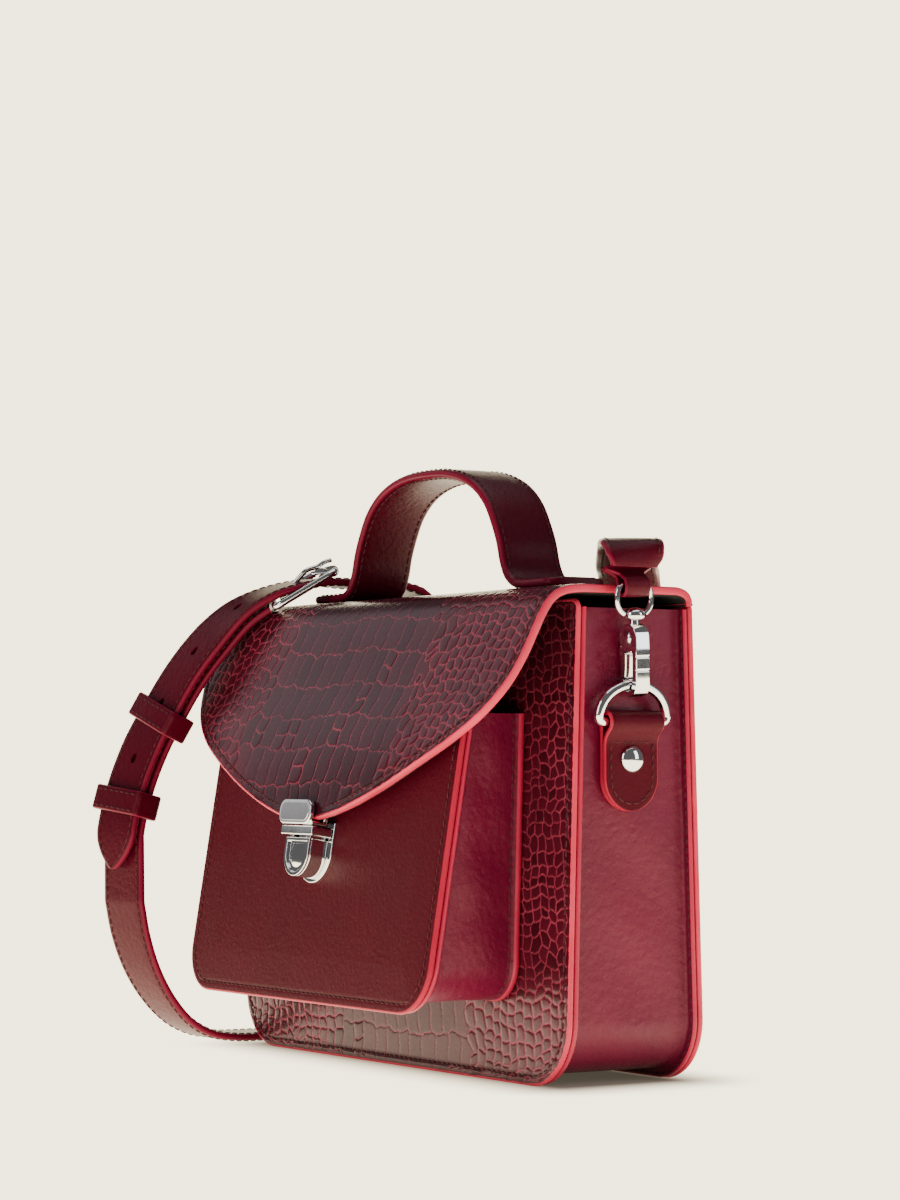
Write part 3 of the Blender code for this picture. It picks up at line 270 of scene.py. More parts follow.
def mesh(name, verts, faces, mat, body="root", rep=(), smooth=None, attrs=None, bevel=None, ride=True, segs=3):
    me = bpy.data.meshes.new(name)
    V = np.asarray([tuple(v) for v in verts] if not isinstance(verts, np.ndarray) else verts, dtype=np.float64).reshape(-1, 3).copy()
    V[:, 0] += OX
    V[:, 1] += OY
    V *= 0.001
    if isinstance(faces, np.ndarray):
        me.vertices.add(len(V))
        me.vertices.foreach_set("co", V.astype(np.float32).ravel())
        k = faces.shape[1]
        me.loops.add(faces.size)
        me.loops.foreach_set("vertex_index", faces.astype(np.int32).ravel())
        me.polygons.add(len(faces))
        me.polygons.foreach_set("loop_start", np.arange(0, faces.size, k, dtype=np.int32))
        me.update(calc_edges=True)
    else:
        me.from_pydata([tuple(v) for v in V], [], [list(f) for f in faces])
        me.update()
        bm = bmesh.new()
        bm.from_mesh(me)
        bmesh.ops.recalc_face_normals(bm, faces=bm.faces[:])
        bm.to_mesh(me)
        bm.free()
    for k, a in (attrs or {}).items():
        at = me.attributes.new(k, "FLOAT", "POINT")
        at.data.foreach_set("value", np.asarray(a, dtype=np.float32).ravel())
    if smooth is not None:
        me.shade_smooth()
        if smooth < 179:
            me.set_sharp_from_angle(angle=math.radians(smooth))
    me.materials.append(mat)
    ob = bpy.data.objects.new(name, me)
    SC.collection.objects.link(ob)
    if bevel:
        m = ob.modifiers.new("bevel", "BEVEL")
        m.width = bevel * 0.001
        m.segments = segs
        m.limit_method = "ANGLE"
        m.angle_limit = math.radians(32)
        m.harden_normals = True
        me.shade_smooth()
    if ride:
        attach(ob, body)
    if rep:
        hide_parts(*rep)
    return ob


def grid_faces(rows, cols, off=0, flip=False):
    i, j = np.meshgrid(np.arange(rows - 1), np.arange(cols - 1), indexing="ij")
    a = off + i * cols + j
    q = np.stack([a, a + 1, a + cols + 1, a + cols], -1).reshape(-1, 4)
    return q[:, ::-1].copy() if flip else q


def smooth_path(points, per=8):
    P = [Vector(p) for p in points]
    P = [P[0] * 2 - P[1]] + P + [P[-1] * 2 - P[-2]]
    out = []
    for i in range(1, len(P) - 2):
        p0, p1, p2, p3 = P[i - 1], P[i], P[i + 1], P[i + 2]
        t0 = 0.0
        t1 = t0 + (p1 - p0).length ** 0.5
        t2 = t1 + (p2 - p1).length ** 0.5
        t3 = t2 + (p3 - p2).length ** 0.5
        for k in range(per):
            t = t1 + (t2 - t1) * k / per
            a1 = p0 * ((t1 - t) / (t1 - t0)) + p1 * ((t - t0) / (t1 - t0))
            a2 = p1 * ((t2 - t) / (t2 - t1)) + p2 * ((t - t1) / (t2 - t1))
            a3 = p2 * ((t3 - t) / (t3 - t2)) + p3 * ((t - t2) / (t3 - t2))
            b1 = a1 * ((t2 - t) / (t2 - t0)) + a2 * ((t - t0) / (t2 - t0))
            b2 = a2 * ((t3 - t) / (t3 - t1)) + a3 * ((t - t1) / (t3 - t1))
            out.append(b1 * ((t2 - t) / (t2 - t1)) + b2 * ((t - t1) / (t2 - t1)))
    out.append(P[-2].copy())
    return out


def lengths(path):
    S = [0.0]
    for a, b in zip(path, path[1:]):
        S.append(S[-1] + (b - a).length)
    return S


def resample(path, wides, step=1.2, fine=0.3, zone=11.0):
    """The path again, evenly, and closely at both ends."""
    S = lengths(path)
    L = S[-1]
    s = list(np.arange(0, min(zone, L / 2), fine)) + list(np.arange(zone, L - zone, step)) + list(np.arange(max(L - zone, L / 2), L, fine)) + [L]
    A = np.array([tuple(p) for p in path])
    B = np.array([tuple(w) for w in wides])
    P = np.stack([np.interp(s, S, A[:, k]) for k in range(3)], -1)
    Q = np.stack([np.interp(s, S, B[:, k]) for k in range(3)], -1)
    return [Vector(p) for p in P], [Vector(q).normalized() for q in Q], s


def strip(name, path, wides, width, thick, mat, body="root", rep=(), crown=0.2, r=None, ride=True, step=1.2, soft=0.0):
    """A flat strap with rounded, painted edges."""
    P, Wd, S = resample(path, wides, step)
    n = len(P)
    L = S[-1]
    ht = thick / 2
    rr = r if r else ht * 0.75
    verts, edge = [], []
    m = None
    frames = []
    for i in range(n):
        t = (P[min(i + 1, n - 1)] - P[max(i - 1, 0)]).normalized()
        w = Wd[i] - t * Wd[i].dot(t)
        w.normalize()
        q = t.cross(w).normalized()
        hw = (width(S[i], L) if callable(width) else width) / 2
        frames.append((P[i], t, w, q, hw, S[i]))
        ring, eg = [], []
        rw = min(rr, hw * 0.8)
        inner = hw - rw
        for k in range(9):
            u = -1 + 2 * k / 8
            c = crown * (1 - u ** 4)
            ring.append((inner * u, ht + c - crown))
            eg.append(0.0)
        for k in range(1, 7):
            a = math.pi / 2 - math.pi * k / 7
            sy = math.copysign(max(ht - crown - rr, 0), math.sin(a)) if abs(math.sin(a)) > 1e-6 else 0
            ring.append((inner + rw * math.cos(a), rr * math.sin(a) * 0.98 + sy))
            eg.append(1.0)
        for k in range(9):
            u = 1 - 2 * k / 8
            c = crown * (1 - u ** 4)
            ring.append((inner * u, -ht - c + crown))
            eg.append(0.0)
        for k in range(1, 7):
            a = -math.pi / 2 - math.pi * k / 7
            sy = math.copysign(max(ht - crown - rr, 0), math.sin(a)) if abs(math.sin(a)) > 1e-6 else 0
            ring.append((-inner + rw * math.cos(a), rr * math.sin(a) * 0.98 + sy))
            eg.append(1.0)
        if i == 0 or i == n - 1:
            eg = [1.0] * len(ring)
        verts += [P[i] + w * x + q * y for x, y in ring]
        edge += eg
        m = len(ring)
    a = np.arange(n - 1)[:, None] * m + np.arange(m)[None, :]
    b = np.arange(n - 1)[:, None] * m + (np.arange(m)[None, :] + 1) % m
    F = np.stack([a, b, b + m, a + m], -1).reshape(-1, 4)
    faces = F.tolist() + [list(range(m - 1, -1, -1)), list(range((n - 1) * m, n * m))]
    ob = mesh(name, verts, faces, mat, body, rep, smooth=50, attrs={"edge": edge}, ride=ride)
    return ob, frames


def tube(name, path, radius, mat, body="root", rep=(), sides=20, closed=False, up=(0, 0, 1), ride=True):
    n = len(path)
    P = [Vector(p) for p in path]
    verts = []
    w = None
    for i, p in enumerate(P):
        if closed:
            t = (P[(i + 1) % n] - P[i - 1]).normalized()
        else:
            t = (P[min(i + 1, n - 1)] - P[max(i - 1, 0)]).normalized()
        if w is None:
            w = Vector(up)
            if abs(w.dot(t)) > 0.9:
                w = Vector((1, 0, 0)) if abs(t.x) < 0.9 else Vector((0, 1, 0))
        w = (w - t * w.dot(t)).normalized()
        q = t.cross(w)
        rad = radius(i / (n - 1)) if callable(radius) else radius
        for k in range(sides):
            a = 2 * math.pi * k / sides
            verts.append(p + w * rad * math.cos(a) + q * rad * math.sin(a))
    faces = []
    for i in range(n if closed else n - 1):
        j = (i + 1) % n
        faces += [[i * sides + k, i * sides + (k + 1) % sides, j * sides + (k + 1) % sides, j * sides + k] for k in range(sides)]
    if not closed:
        faces += [list(range(sides - 1, -1, -1)), list(range((n - 1) * sides, n * sides))]
    return mesh(name, verts, faces, mat, body, rep, smooth=45, ride=ride)


def turned(name, centre, axis, profile, mat, body="root", rep=(), sides=40, bevel=None):
    ax = Vector(axis).normalized()
    a = ax.orthogonal().normalized()
    b = ax.cross(a)
    verts, rings, faces = [], [], []
    for h, r in profile:
        if r < 1e-6:
            rings.append([len(verts)])
            verts.append(Vector(centre) + ax * h)
        else:
            rings.append(list(range(len(verts), len(verts) + sides)))
            for k in range(sides):
                t = 2 * math.pi * k / sides
                verts.append(Vector(centre) + ax * h + (a * math.cos(t) + b * math.sin(t)) * r)
    for r0, r1 in zip(rings, rings[1:]):
        for k in range(sides):
            k2 = (k + 1) % sides
            if len(r0) == 1:
                faces.append([r0[0], r1[k], r1[k2]])
            elif len(r1) == 1:
                faces.append([r0[k], r1[0], r0[k2]])
            else:
                faces.append([r0[k], r1[k], r1[k2], r0[k2]])
    return mesh(name, verts, faces, mat, body, rep, smooth=38, bevel=bevel)


def u_outline(half, bottom, top, radius, steps=24, top_radius=0.0, top_steps=6):
    pts = []
    if top_radius:
        for k in range(top_steps + 1):
            a = math.pi / 2 + math.pi / 2 * k / top_steps
            pts.append((-half + top_radius + top_radius * math.cos(a), top - top_radius + top_radius * math.sin(a)))
    else:
        pts.append((-half, top))
    for k in range(steps + 1):
        a = math.pi + math.pi / 2 * k / steps
        pts.append((-half + radius + radius * math.cos(a), bottom + radius + radius * math.sin(a)))
    pts += [(-x, z) for x, z in reversed(pts)]
    return pts


def dense(pts, step, closed=False):
    """More points along a 2-D line."""
    out = []
    P = pts + [pts[0]] if closed else pts
    for a, b in zip(P, P[1:]):
        n = max(1, int(math.ceil(math.hypot(b[0] - a[0], b[1] - a[1]) / step)))
        for k in range(n):
            out.append((a[0] + (b[0] - a[0]) * k / n, a[1] + (b[1] - a[1]) * k / n))
    if not closed:
        out.append(P[-1])
    return out


# ---------------------------------------------------------------- stitches
class Stitches:
    def __init__(self):
        self.V, self.F, self.n = [], [], 0
        T, R = [], []
        for i, (h, r) in enumerate(((-1.0, 0.35), (-0.8, 0.8), (0.0, 1.0), (0.8, 0.8), (1.0, 0.35))):
            for k in range(6):
                a = 2 * math.pi * k / 6
                T.append((h, r * math.cos(a), r * math.sin(a)))
        self.T = np.array(T)
        F = []
        for i in range(4):
            for k in range(6):
                F.append([i * 6 + k, i * 6 + (k + 1) % 6, (i + 1) * 6 + (k + 1) % 6, (i + 1) * 6 + k])
        self.Q = np.array(F)

    def add(self, c, t, nrm, length=2.0, radius=0.30):
        s = t.cross(nrm).normalized()
        M = np.array([tuple(t * length / 2), tuple(s * radius), tuple(nrm * radius)])
        self.V.append(self.T @ M + np.array(tuple(c)))
        self.F.append(self.Q + self.n)
        self.n += len(self.T)

    def line(self, pts, normals, pitch=2.9, length=2.1, radius=0.30, tilt=0.10, closed=False, lift=0.02):
        S = lengths(pts)
        n = max(2, int(round(S[-1] / pitch)))
        A = np.array([tuple(p) for p in pts])
        B = np.array([tuple(p) for p in normals])
        for k in range(n):
            s = (k + 0.5) * S[-1] / n
            c = Vector([np.interp(s, S, A[:, j]) for j in range(3)])
            d = Vector([np.interp(min(s + 0.6, S[-1]), S, A[:, j]) - np.interp(max(s - 0.6, 0), S, A[:, j]) for j in range(3)]).normalized()
            nr = Vector([np.interp(s, S, B[:, j]) for j in range(3)]).normalized()
            side = d.cross(nr).normalized()
            d = (d + side * tilt).normalized()
            self.add(c + nr * lift, d, nr, length, radius)

    def done(self, name, body, ride=True):
        return mesh(name, np.concatenate(self.V), np.concatenate(self.F), M_THREAD, body, smooth=80, ride=ride)


def inset_line(pts, d):
    """A 2-D line moved to its left side by d (for a U drawn from the top left, that is inward)."""
    out = []
    n = len(pts)
    for i in range(n):
        x0, z0 = pts[max(i - 1, 0)]
        x1, z1 = pts[min(i + 1, n - 1)]
        L = math.hypot(x1 - x0, z1 - z0) or 1.0
        out.append((pts[i][0] - (z1 - z0) / L * d, pts[i][1] + (x1 - x0) / L * d))
    return out


# ---------------------------------------------------------------- embossed pattern
class Croc:
    """Scales on a raster of (x, s), 0.3 mm a cell: height, groove, tint and side share."""

    def __init__(self, s0, s1, seed, centre=44.0, shift=0.0, band=12.0):
        r = np.random.default_rng(seed)
        self.step = 0.3
        self.x0, self.s0 = -104.0, s0 - 3.0
        nx, ns = int(208 / self.step) + 1, int((s1 - s0 + 6) / self.step) + 1
        X, S = np.meshgrid(self.x0 + np.arange(nx) * self.step, self.s0 + np.arange(ns) * self.step, indexing="ij")
        Xw = X + 0.35 * np.sin(S * 0.31 + 1.3) + 0.25 * np.sin(S * 0.83 + X * 0.07) - shift + 0.09 * (S - 0.5 * (s0 + s1))
        Sw = S + 0.9 * np.sin(X * 0.11 + 0.6) + 0.5 * np.sin(X * 0.47 + S * 0.05) + 0.25 * np.sin(X * 1.15 + 2.0)
        F1 = np.full(X.shape, 9.0)
        F2 = np.full(X.shape, 9.0)
        tint = np.zeros(X.shape)
        sz = np.ones(X.shape)
        s = s0 - 10.0
        cells = []
        while s < s1 + 10:
            h = r.uniform(0.86, 1.14) * band
            half = centre + r.uniform(-5, 5)
            off = r.uniform(0, 6)
            x = -half
            while x < half:
                w = r.uniform(6.0, 8.6)
                e = max(0.0, (abs(x + w / 2) - half + 12) / 12)
                if r.random() < 0.10:
                    cells.append((x + w / 2, s + h * 0.28, w, h * 0.5, 3.2))
                    cells.append((x + w / 2, s + h * 0.76, w, h * 0.5, 3.2))
                else:
                    cells.append((x + w / 2, s + h / 2 + r.uniform(-0.4, 0.4) + e * r.uniform(-1.0, 1.0), w, h, 7.0))
                x += w
            for sd in (-1, 1):
                x = half
                while x < 112:
                    far = min((x - half) / 16.0, 1.0)
                    k = 2 if far < 0.45 else 3
                    w = 5.6 - 1.1 * far + r.uniform(-0.5, 0.5)
                    o = r.uniform(0, h / k)
                    for q in range(k):
                        cells.append((sd * (x + w / 2) + r.uniform(-0.7, 0.7), s + h * (q + 0.5) / k + o * 0.6 + r.uniform(-0.5, 0.5), w * r.uniform(0.85, 1.1), h / k * r.uniform(0.85, 1.1), 2.4))
                    x += w
            s += h
        for cx, cs, w, h, p in cells:
            i0, i1 = int((cx - 1.9 * w + shift - self.x0 - 2) / self.step), int((cx + 1.9 * w + shift - self.x0 + 2) / self.step)
            j0, j1 = int((cs - 1.9 * h - self.s0 - 2) / self.step), int((cs + 1.9 * h - self.s0 + 2) / self.step)
            i0, j0, i1, j1 = max(i0, 0), max(j0, 0), min(i1, nx), min(j1, ns)
            if i0 >= i1 or j0 >= j1:
                continue
            a = np.abs(Xw[i0:i1, j0:j1] - cx) / (w / 2)
            b = np.abs(Sw[i0:i1, j0:j1] - cs) / (h / 2)
            d = (a ** p + b ** p) ** (1 / p)
            f1, f2, tn, z = F1[i0:i1, j0:j1], F2[i0:i1, j0:j1], tint[i0:i1, j0:j1], sz[i0:i1, j0:j1]
            near = d < f1
            second = (~near) & (d < f2)
            f2[near] = f1[near]
            f1[near] = d[near]
            tn[near] = r.random()
            z[near] = 1.0 if p > 4 else 0.0
            f2[second] = d[second]
        D = F2 - F1
        gx, gs = np.gradient(D, self.step)
        G = np.sqrt(gx ** 2 + gs ** 2) + 0.06
        away = np.clip(D / G, 0, 3)
        wd = np.where(sz > 0.5, 0.22, 0.30)
        t = np.clip(away / (wd * 1.9), 0, 1)
        up = t * t * (3 - 2 * t)
        dome = np.clip(1 - F1 ** 2, 0, 1)
        self.h = np.where(sz > 0.5, 0.10, 0.15) * up + np.where(sz > 0.5, 0.015, 0.05) * dome
        self.g = (1 - np.clip(away / (wd * 1.9), 0, 1)) * np.where(sz > 0.5, 0.92, 1.0)
        fade = 0.55 + 0.45 * np.sin(X * 0.09 + 0.5) * np.sin(S * 0.13)
        self.g *= np.clip(0.75 + 0.35 * fade, 0, 1)
        self.t = tint
        c = np.clip((np.abs(X - shift) - centre + 6) / 12, 0, 1)
        self.side = c

    def at(self, x, s):
        u = np.clip((x - self.x0) / self.step, 0, self.h.shape[0] - 1.001)
        v = np.clip((s - self.s0) / self.step, 0, self.h.shape[1] - 1.001)
        i, j = u.astype(int), v.astype(int)
        a, b = u - i, v - j
        out = []
        for R in (self.h, self.g, self.side):
            out.append(R[i, j] * (1 - a) * (1 - b) + R[i + 1, j] * a * (1 - b) + R[i, j + 1] * (1 - a) * b + R[i + 1, j + 1] * a * b)
        out.append(self.t[np.round(u).astype(int), np.round(v).astype(int)])
        return out


RES = 0.42


def panel(name, half, bottom, top, radius, top_r, outer, thick, sign, mat, rep, croc=None, r=0.7, puff=0.0):
    """A flat leather panel with a painted, rounded edge. outer(z) is its outer face; sign -1 faces -Y."""
    rows = int((top - bottom) / RES)
    cols = int(2 * half / RES)
    z = np.linspace(bottom + r, top - r, rows)
    zz = np.clip(radius - r - (z - bottom - r), 0, None)
    hw = half - r - ((radius - r) - np.sqrt(np.clip((radius - r) ** 2 - zz ** 2, 0, None)))
    if top_r > r:
        z2 = np.clip(z - (top - top_r), 0, top_r - r)
        hw = np.minimum(hw, half - r - ((top_r - r) - np.sqrt(np.clip((top_r - r) ** 2 - z2 ** 2, 0, None))))
    t = np.linspace(-1, 1, cols)
    X = hw[:, None] * t[None, :]
    Z = np.repeat(z[:, None], cols, 1)
    gap = np.minimum(np.minimum(hw[:, None] - np.abs(X), Z - bottom - r), top - r - Z)
    fade = np.clip(gap / 1.2, 0, 1)
    attrs = {"edge": np.zeros(X.size)}
    H = puff * np.clip(gap / 14.0, 0, 1) ** 0.7 + 0.0 * X
    if croc is not None:
        h, g, sd, tn = croc.at(X, Z)
        H = H + (h - 0.09) * fade
        attrs.update(groove=g * fade, side=sd, tint=tn)
    dip = np.exp(-((gap - 2.4) / 0.55) ** 2) * 0.16
    H = H - dip
    Y = outer(Z) + sign * H
    V = np.stack([X, Y, Z], -1).reshape(-1, 3)
    F = grid_faces(rows, cols, 0, flip=(sign > 0))
    verts = V
    # edge ring and back
    base = u_outline(half, bottom, top, radius, top_radius=top_r)
    ring = dense(base, 2.0, closed=True)
    n = len(ring)
    nrm = []
    for i in range(n):
        x0, z0 = ring[i - 1]
        x1, z1 = ring[(i + 1) % n]
        L = math.hypot(x1 - x0, z1 - z0) or 1
        nrm.append(((z1 - z0) / L, -(x1 - x0) / L))
    prof = [(-r - 0.35, -0.02)] + [(-r + r * math.sin(math.pi / 2 * k / 5), r - r * math.cos(math.pi / 2 * k / 5)) for k in range(6)]
    prof += [(0.12, thick / 2)]
    prof += [(-r + r * math.cos(math.pi / 2 * k / 4), thick - r + r * math.sin(math.pi / 2 * k / 4)) for k in range(5)]
    extra, eg = [], []
    off = len(verts)
    ring_n = len(prof)
    for i, (x, zq) in enumerate(ring):
        nx, nz = nrm[i]
        # the outline runs anticlockwise seen from the front, so (nx, nz) points outward
        for k, (o, dd) in enumerate(prof):
            px, pz = x + nx * o, zq + nz * o
            extra.append((px, outer(pz) - sign * dd, pz))
            eg.append(0.0 if k == 0 else 1.0)
    faces2 = []
    for i in range(n):
        j = (i + 1) % n
        for k in range(ring_n - 1):
            faces2.append([off + i * ring_n + k, off + j * ring_n + k, off + j * ring_n + k + 1, off + i * ring_n + k + 1])
    faces2 = np.array(faces2)
    if sign > 0:
        faces2 = faces2[:, ::-1]
    verts = np.concatenate([V, np.array(extra)])
    for k in list(attrs):
        attrs[k] = np.concatenate([np.ravel(attrs[k]), np.array(eg) if k == "edge" else np.zeros(len(eg))])
    ob = mesh(name, verts, np.concatenate([F, faces2]), mat, "root", (), smooth=60, attrs=attrs)
    # back face
    bverts = [(x + nx * -r, outer(zq + nz * -r) - sign * thick, zq + nz * -r) for (x, zq), (nx, nz) in zip(ring, nrm)]
    mesh(name + "_inside", bverts, [list(range(len(bverts)))], M_LINING, "root", smooth=20)
    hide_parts(*rep)
    return ob


def band_mesh(name, path, y_a, y_b, profile, mat, rep, wob=None):
    """profile is (out, t, mm, edge)."""
    P = dense(path, 2.0)
    n = len(P)
    nrm = []
    for i in range(n):
        if i == 0:
            nrm.append((-1.0, 0.0))
            continue
        if i == n - 1:
            nrm.append((1.0, 0.0))
            continue
        x0, z0 = P[i - 1]
        x1, z1 = P[i + 1]
        L = math.hypot(x1 - x0, z1 - z0)
        nrm.append(((z1 - z0) / L, -(x1 - x0) / L))
    verts, edge = [], []
    m = len(profile)
    for i, (x, z) in enumerate(P):
        nx, nz = nrm[i]
        for out, t, mm, e in profile:
            o = out
            if wob is not None:
                o = out + wob(i / (n - 1), t, x, z, out)
            px, pz = x + nx * o, z + nz * o
            verts.append((px, y_a(pz) * (1 - t) + y_b(pz) * t + mm, pz))
            edge.append(e)
    faces = []
    for i in range(n - 1):
        faces += [[i * m + k, i * m + (k + 1) % m, (i + 1) * m + (k + 1) % m, (i + 1) * m + k] for k in range(m)]
    faces += [list(range(m - 1, -1, -1)), list(range((n - 1) * m, n * m))]
    return mesh(name, verts, faces, mat, "root", rep, smooth=55, attrs={"edge": edge})


# ---------------------------------------------------------------- body
croc_front = Croc(0, 150, 11, centre=40.0)
panel("front_croc", WIDTH / 2, 0.0, HEIGHT, CORNER, 3.0, front_y, PANEL_T, -1, M_CROC, ["front_panel"], croc_front)
panel("back_croc", WIDTH / 2, 0.0, 148.35, CORNER, 0.8, back_y, PANEL_T, 1, M_CROC, ["back_panel"], Croc(0, 150, 23, centre=42.0))
panel("pocket_face", POCKET_W / 2, POCKET_Z, POCKET_TOP, POCKET_R, 2.0, pocket_y, POCKET_T, -1, M_SMOOTH, ["pocket_front"], None, puff=0.5)

F0 = PANEL_T + GAP


def gusset_profile(t_skin, seam, f, flange, n=14, bulge=0.0):
    """From the front inner edge, over the rib, across, over the back rib."""
    s = seam - 0.15
    p = [(-t_skin, 0, f, 0), (s - 0.6, 0, f, 1), (s - 0.15, 0, f + 0.15, 1), (s, 0, f + 0.55, 1), (s, 0, f + flange - 0.5, 1), (s - 0.2, 0, f + flange - 0.12, 1),
         (s - 0.7, 0, f + flange, 0), (1.0, 0, f + flange + 0.05, 0), (0.35, 0, f + flange + 0.25, 0), (0.05, 0, f + flange + 0.9, 0)]
    q = []
    for k in range(1, n):
        t = k / n
        q.append((bulge * math.sin(math.pi * t), t, (f + flange + 0.9) * (1 - t) - (f + flange + 0.9) * t, 0))
    b = [(o, 1, -mm, e) for o, _, mm, e in reversed(p)]
    inner = [(-t_skin, 1 - k / 5, 0, 0) for k in range(1, 5)]
    return p + q + b


def wobble(u, t, x, z, out):
    if out > 1.2 or t in (0, 1):
        return 0.0
    c = math.sin(math.pi * t)
    low = max(0.0, 1 - z / 30.0)
    return c * (0.35 * math.sin(z * 0.07 + t * 3.1) + 0.25 * math.sin(z * 0.19 + t * 6.0 + x * 0.02) + 0.18 * math.sin(z * 0.43 + 2.0 * t) * low)


gpath = u_outline(WIDTH / 2 - SEAM, SEAM, GUSSET_TOP, CORNER - SEAM)
band_mesh("gusset_skin", gpath, front_y, back_y, gusset_profile(GUSSET_T, SEAM, F0, FLANGE_T, 18, 0.0), M_GUSSET, ["main_gusset"], wobble)
ppath = u_outline(POCKET_W / 2 - POCKET_SEAM, POCKET_Z + POCKET_SEAM, POCKET_TOP - 0.2, POCKET_R - POCKET_SEAM)
G = POCKET_T + GAP
s_ = POCKET_SEAM - 0.15
pp = [(-1.3, 0, G, 0), (s_ - 0.6, 0, G, 1), (s_ - 0.15, 0, G + 0.15, 1), (s_, 0, G + 0.5, 1), (s_, 0, G + 1.1, 1), (s_ - 0.2, 0, G + 1.5, 1), (s_ - 0.7, 0, G + 1.6, 0),
      (0.9, 0, G + 1.65, 0), (0.3, 0, G + 1.9, 0), (0.05, 0, G + 2.5, 0)]
pq = [(0.0, k / 12, (G + 2.5) * (1 - k / 12) - 2.6 * k / 12, 0) for k in range(1, 12)]
pe = [(0.0, 1, -2.6, 0), (0.45, 1, -2.2, 1), (0.7, 1, -1.5, 1), (0.5, 1, -0.6, 1), (0.2, 1, -0.3, 0), (-6.0, 1, -0.3, 0), (-6.0, 1, -1.5, 0), (-1.3, 1, -1.5, 0)]


def pwob(u, t, x, z, out):
    if out > 0.1 or out < 0 or t in (0, 1):
        return 0.0
    return math.sin(math.pi * t) * (0.25 * math.sin(z * 0.11 + t * 4) + 0.2 * math.sin(z * 0.31 + 1))


band_mesh("pocket_gusset_skin", ppath, pocket_y, front_y, pp + pq + pe, M_GUSSET, ["pocket_gusset"], pwob)

# ---------------------------------------------------------------- flap
FLAP_KEYS = [
    (back_y(148.0), 148.2, 100.0), (22.0, 150.4, 100.0), (20.4, 152.8, 100.0), (17.2, 154.1, 100.0),
    (12.0, FLAP_TOP, 100.0), (0.0, FLAP_TOP, 100.0), (-12.0, FLAP_TOP, 100.0), (-21.0, 154.2, 100.0),
    (-26.0, 153.6, 100.0), (-29.8, 152.2, 100.0), (-32.6, 150.0, 100.0), (-35.2, 146.6, 100.0), (-38.2, 141.0, 99.9),
    (-41.8, 133.0, 99.0), (-46.0, 124.0, 96.0), (-50.8, 115.0, 89.3), (-54.8, 107.0, 78.3), (-57.6, 99.5, 63.5),
    (-59.5, 92.0, 46.5), (-60.7, 86.5, 31.0), (-61.5, 83.0, 18.0), (-61.9, 81.3, 8.0)]
kp = smooth_path([(y, z, 0.0) for y, z, w in FLAP_KEYS], per=10)
ks = lengths(kp)
key_s = [ks[i * 10] for i in range(len(FLAP_KEYS))]
FL = ks[-1]
KY, KZ = np.array([p[0] for p in kp]), np.array([p[1] for p in kp])
wpath = smooth_path([(s, w, 0.0) for s, (y, z, w) in zip(key_s, FLAP_KEYS)], per=10)
WS, WW = np.array([p[0] for p in wpath]), np.array([p[1] for p in wpath])
dY, dZ = np.gradient(KY, ks), np.gradient(KZ, ks)


def flap_point(x, s, depth):
    """Point on the flap at arc length s, at a depth under its outer face (arrays)."""
    y, z = np.interp(s, ks, KY), np.interp(s, ks, KZ)
    ty, tz = np.interp(s, ks, dY), np.interp(s, ks, dZ)
    L = np.sqrt(ty ** 2 + tz ** 2)
    ny, nz = tz / L, -ty / L
    return np.stack([x + 0 * y, y - ny * depth, z - nz * depth], -1)


er = 0.7
rows = int(FL / RES)
cols = int(200 / RES)
s = np.linspace(er, FL - er, rows)
w_in = np.interp(s, WS, WW)
slope_w = np.gradient(w_in, s)
w_in = w_in - er * np.sqrt(1 + slope_w ** 2).clip(1, 4)
w_in = np.clip(w_in, 4, None)
t = np.linspace(-1, 1, cols)
X = w_in[:, None] * t[None, :]
S_ = np.repeat(s[:, None], cols, 1)
croc_flap = Croc(0, FL, 5, centre=44.0)
h, g, sd, tn = croc_flap.at(X, S_)
gap = np.minimum((w_in[:, None] - np.abs(X)) / np.sqrt(1 + slope_w ** 2)[:, None], FL - er - S_)
fade = np.clip(gap / 1.2, 0, 1)
dip = np.exp(-((gap - 2.2) / 0.5) ** 2) * 0.16
depth = -(h - 0.09) * fade + dip
V = flap_point(X, S_, depth).reshape(-1, 3)
F = grid_faces(rows, cols, 0, flip=False)
outline = [(-np.interp(q, WS, WW), q) for q in np.linspace(0, FL, 260)]
outline = outline + [(x_, FL) for x_ in np.linspace(-7, 7, 8)] + [(-x_, q) for x_, q in reversed(outline)]
outline = dense(outline, 2.2, closed=True)
n = len(outline)
nrm = []
for i in range(n):
    x0, s0_ = outline[i - 1]
    x1, s1_ = outline[(i + 1) % n]
    L = math.hypot(x1 - x0, s1_ - s0_) or 1
    nrm.append((-(s1_ - s0_) / L, (x1 - x0) / L))
T_ = FLAP_T + 1.1
prof = [(-er - 0.35, -0.02)] + [(-er + er * math.sin(math.pi / 2 * k / 5), er - er * math.cos(math.pi / 2 * k / 5)) for k in range(6)]
prof += [(0.15, T_ / 2)]
prof += [(-er + er * math.cos(math.pi / 2 * k / 4), T_ - er + er * math.sin(math.pi / 2 * k / 4)) for k in range(5)]
ex, eg = [], []
for (x_, q), (nx, nz) in zip(outline, nrm):
    for k, (o, dd) in enumerate(prof):
        ex.append(flap_point(np.array(x_ + nx * o), np.array(min(max(q + nz * o, 0), FL)), dd))
        eg.append(0.0 if k == 0 else 1.0)
m_ = len(prof)
off = len(V)
f2 = []
for i in range(n):
    j = (i + 1) % n
    f2 += [[off + i * m_ + k, off + i * m_ + k + 1, off + j * m_ + k + 1, off + j * m_ + k] for k in range(m_ - 1)]
z0_ = np.zeros(len(eg))
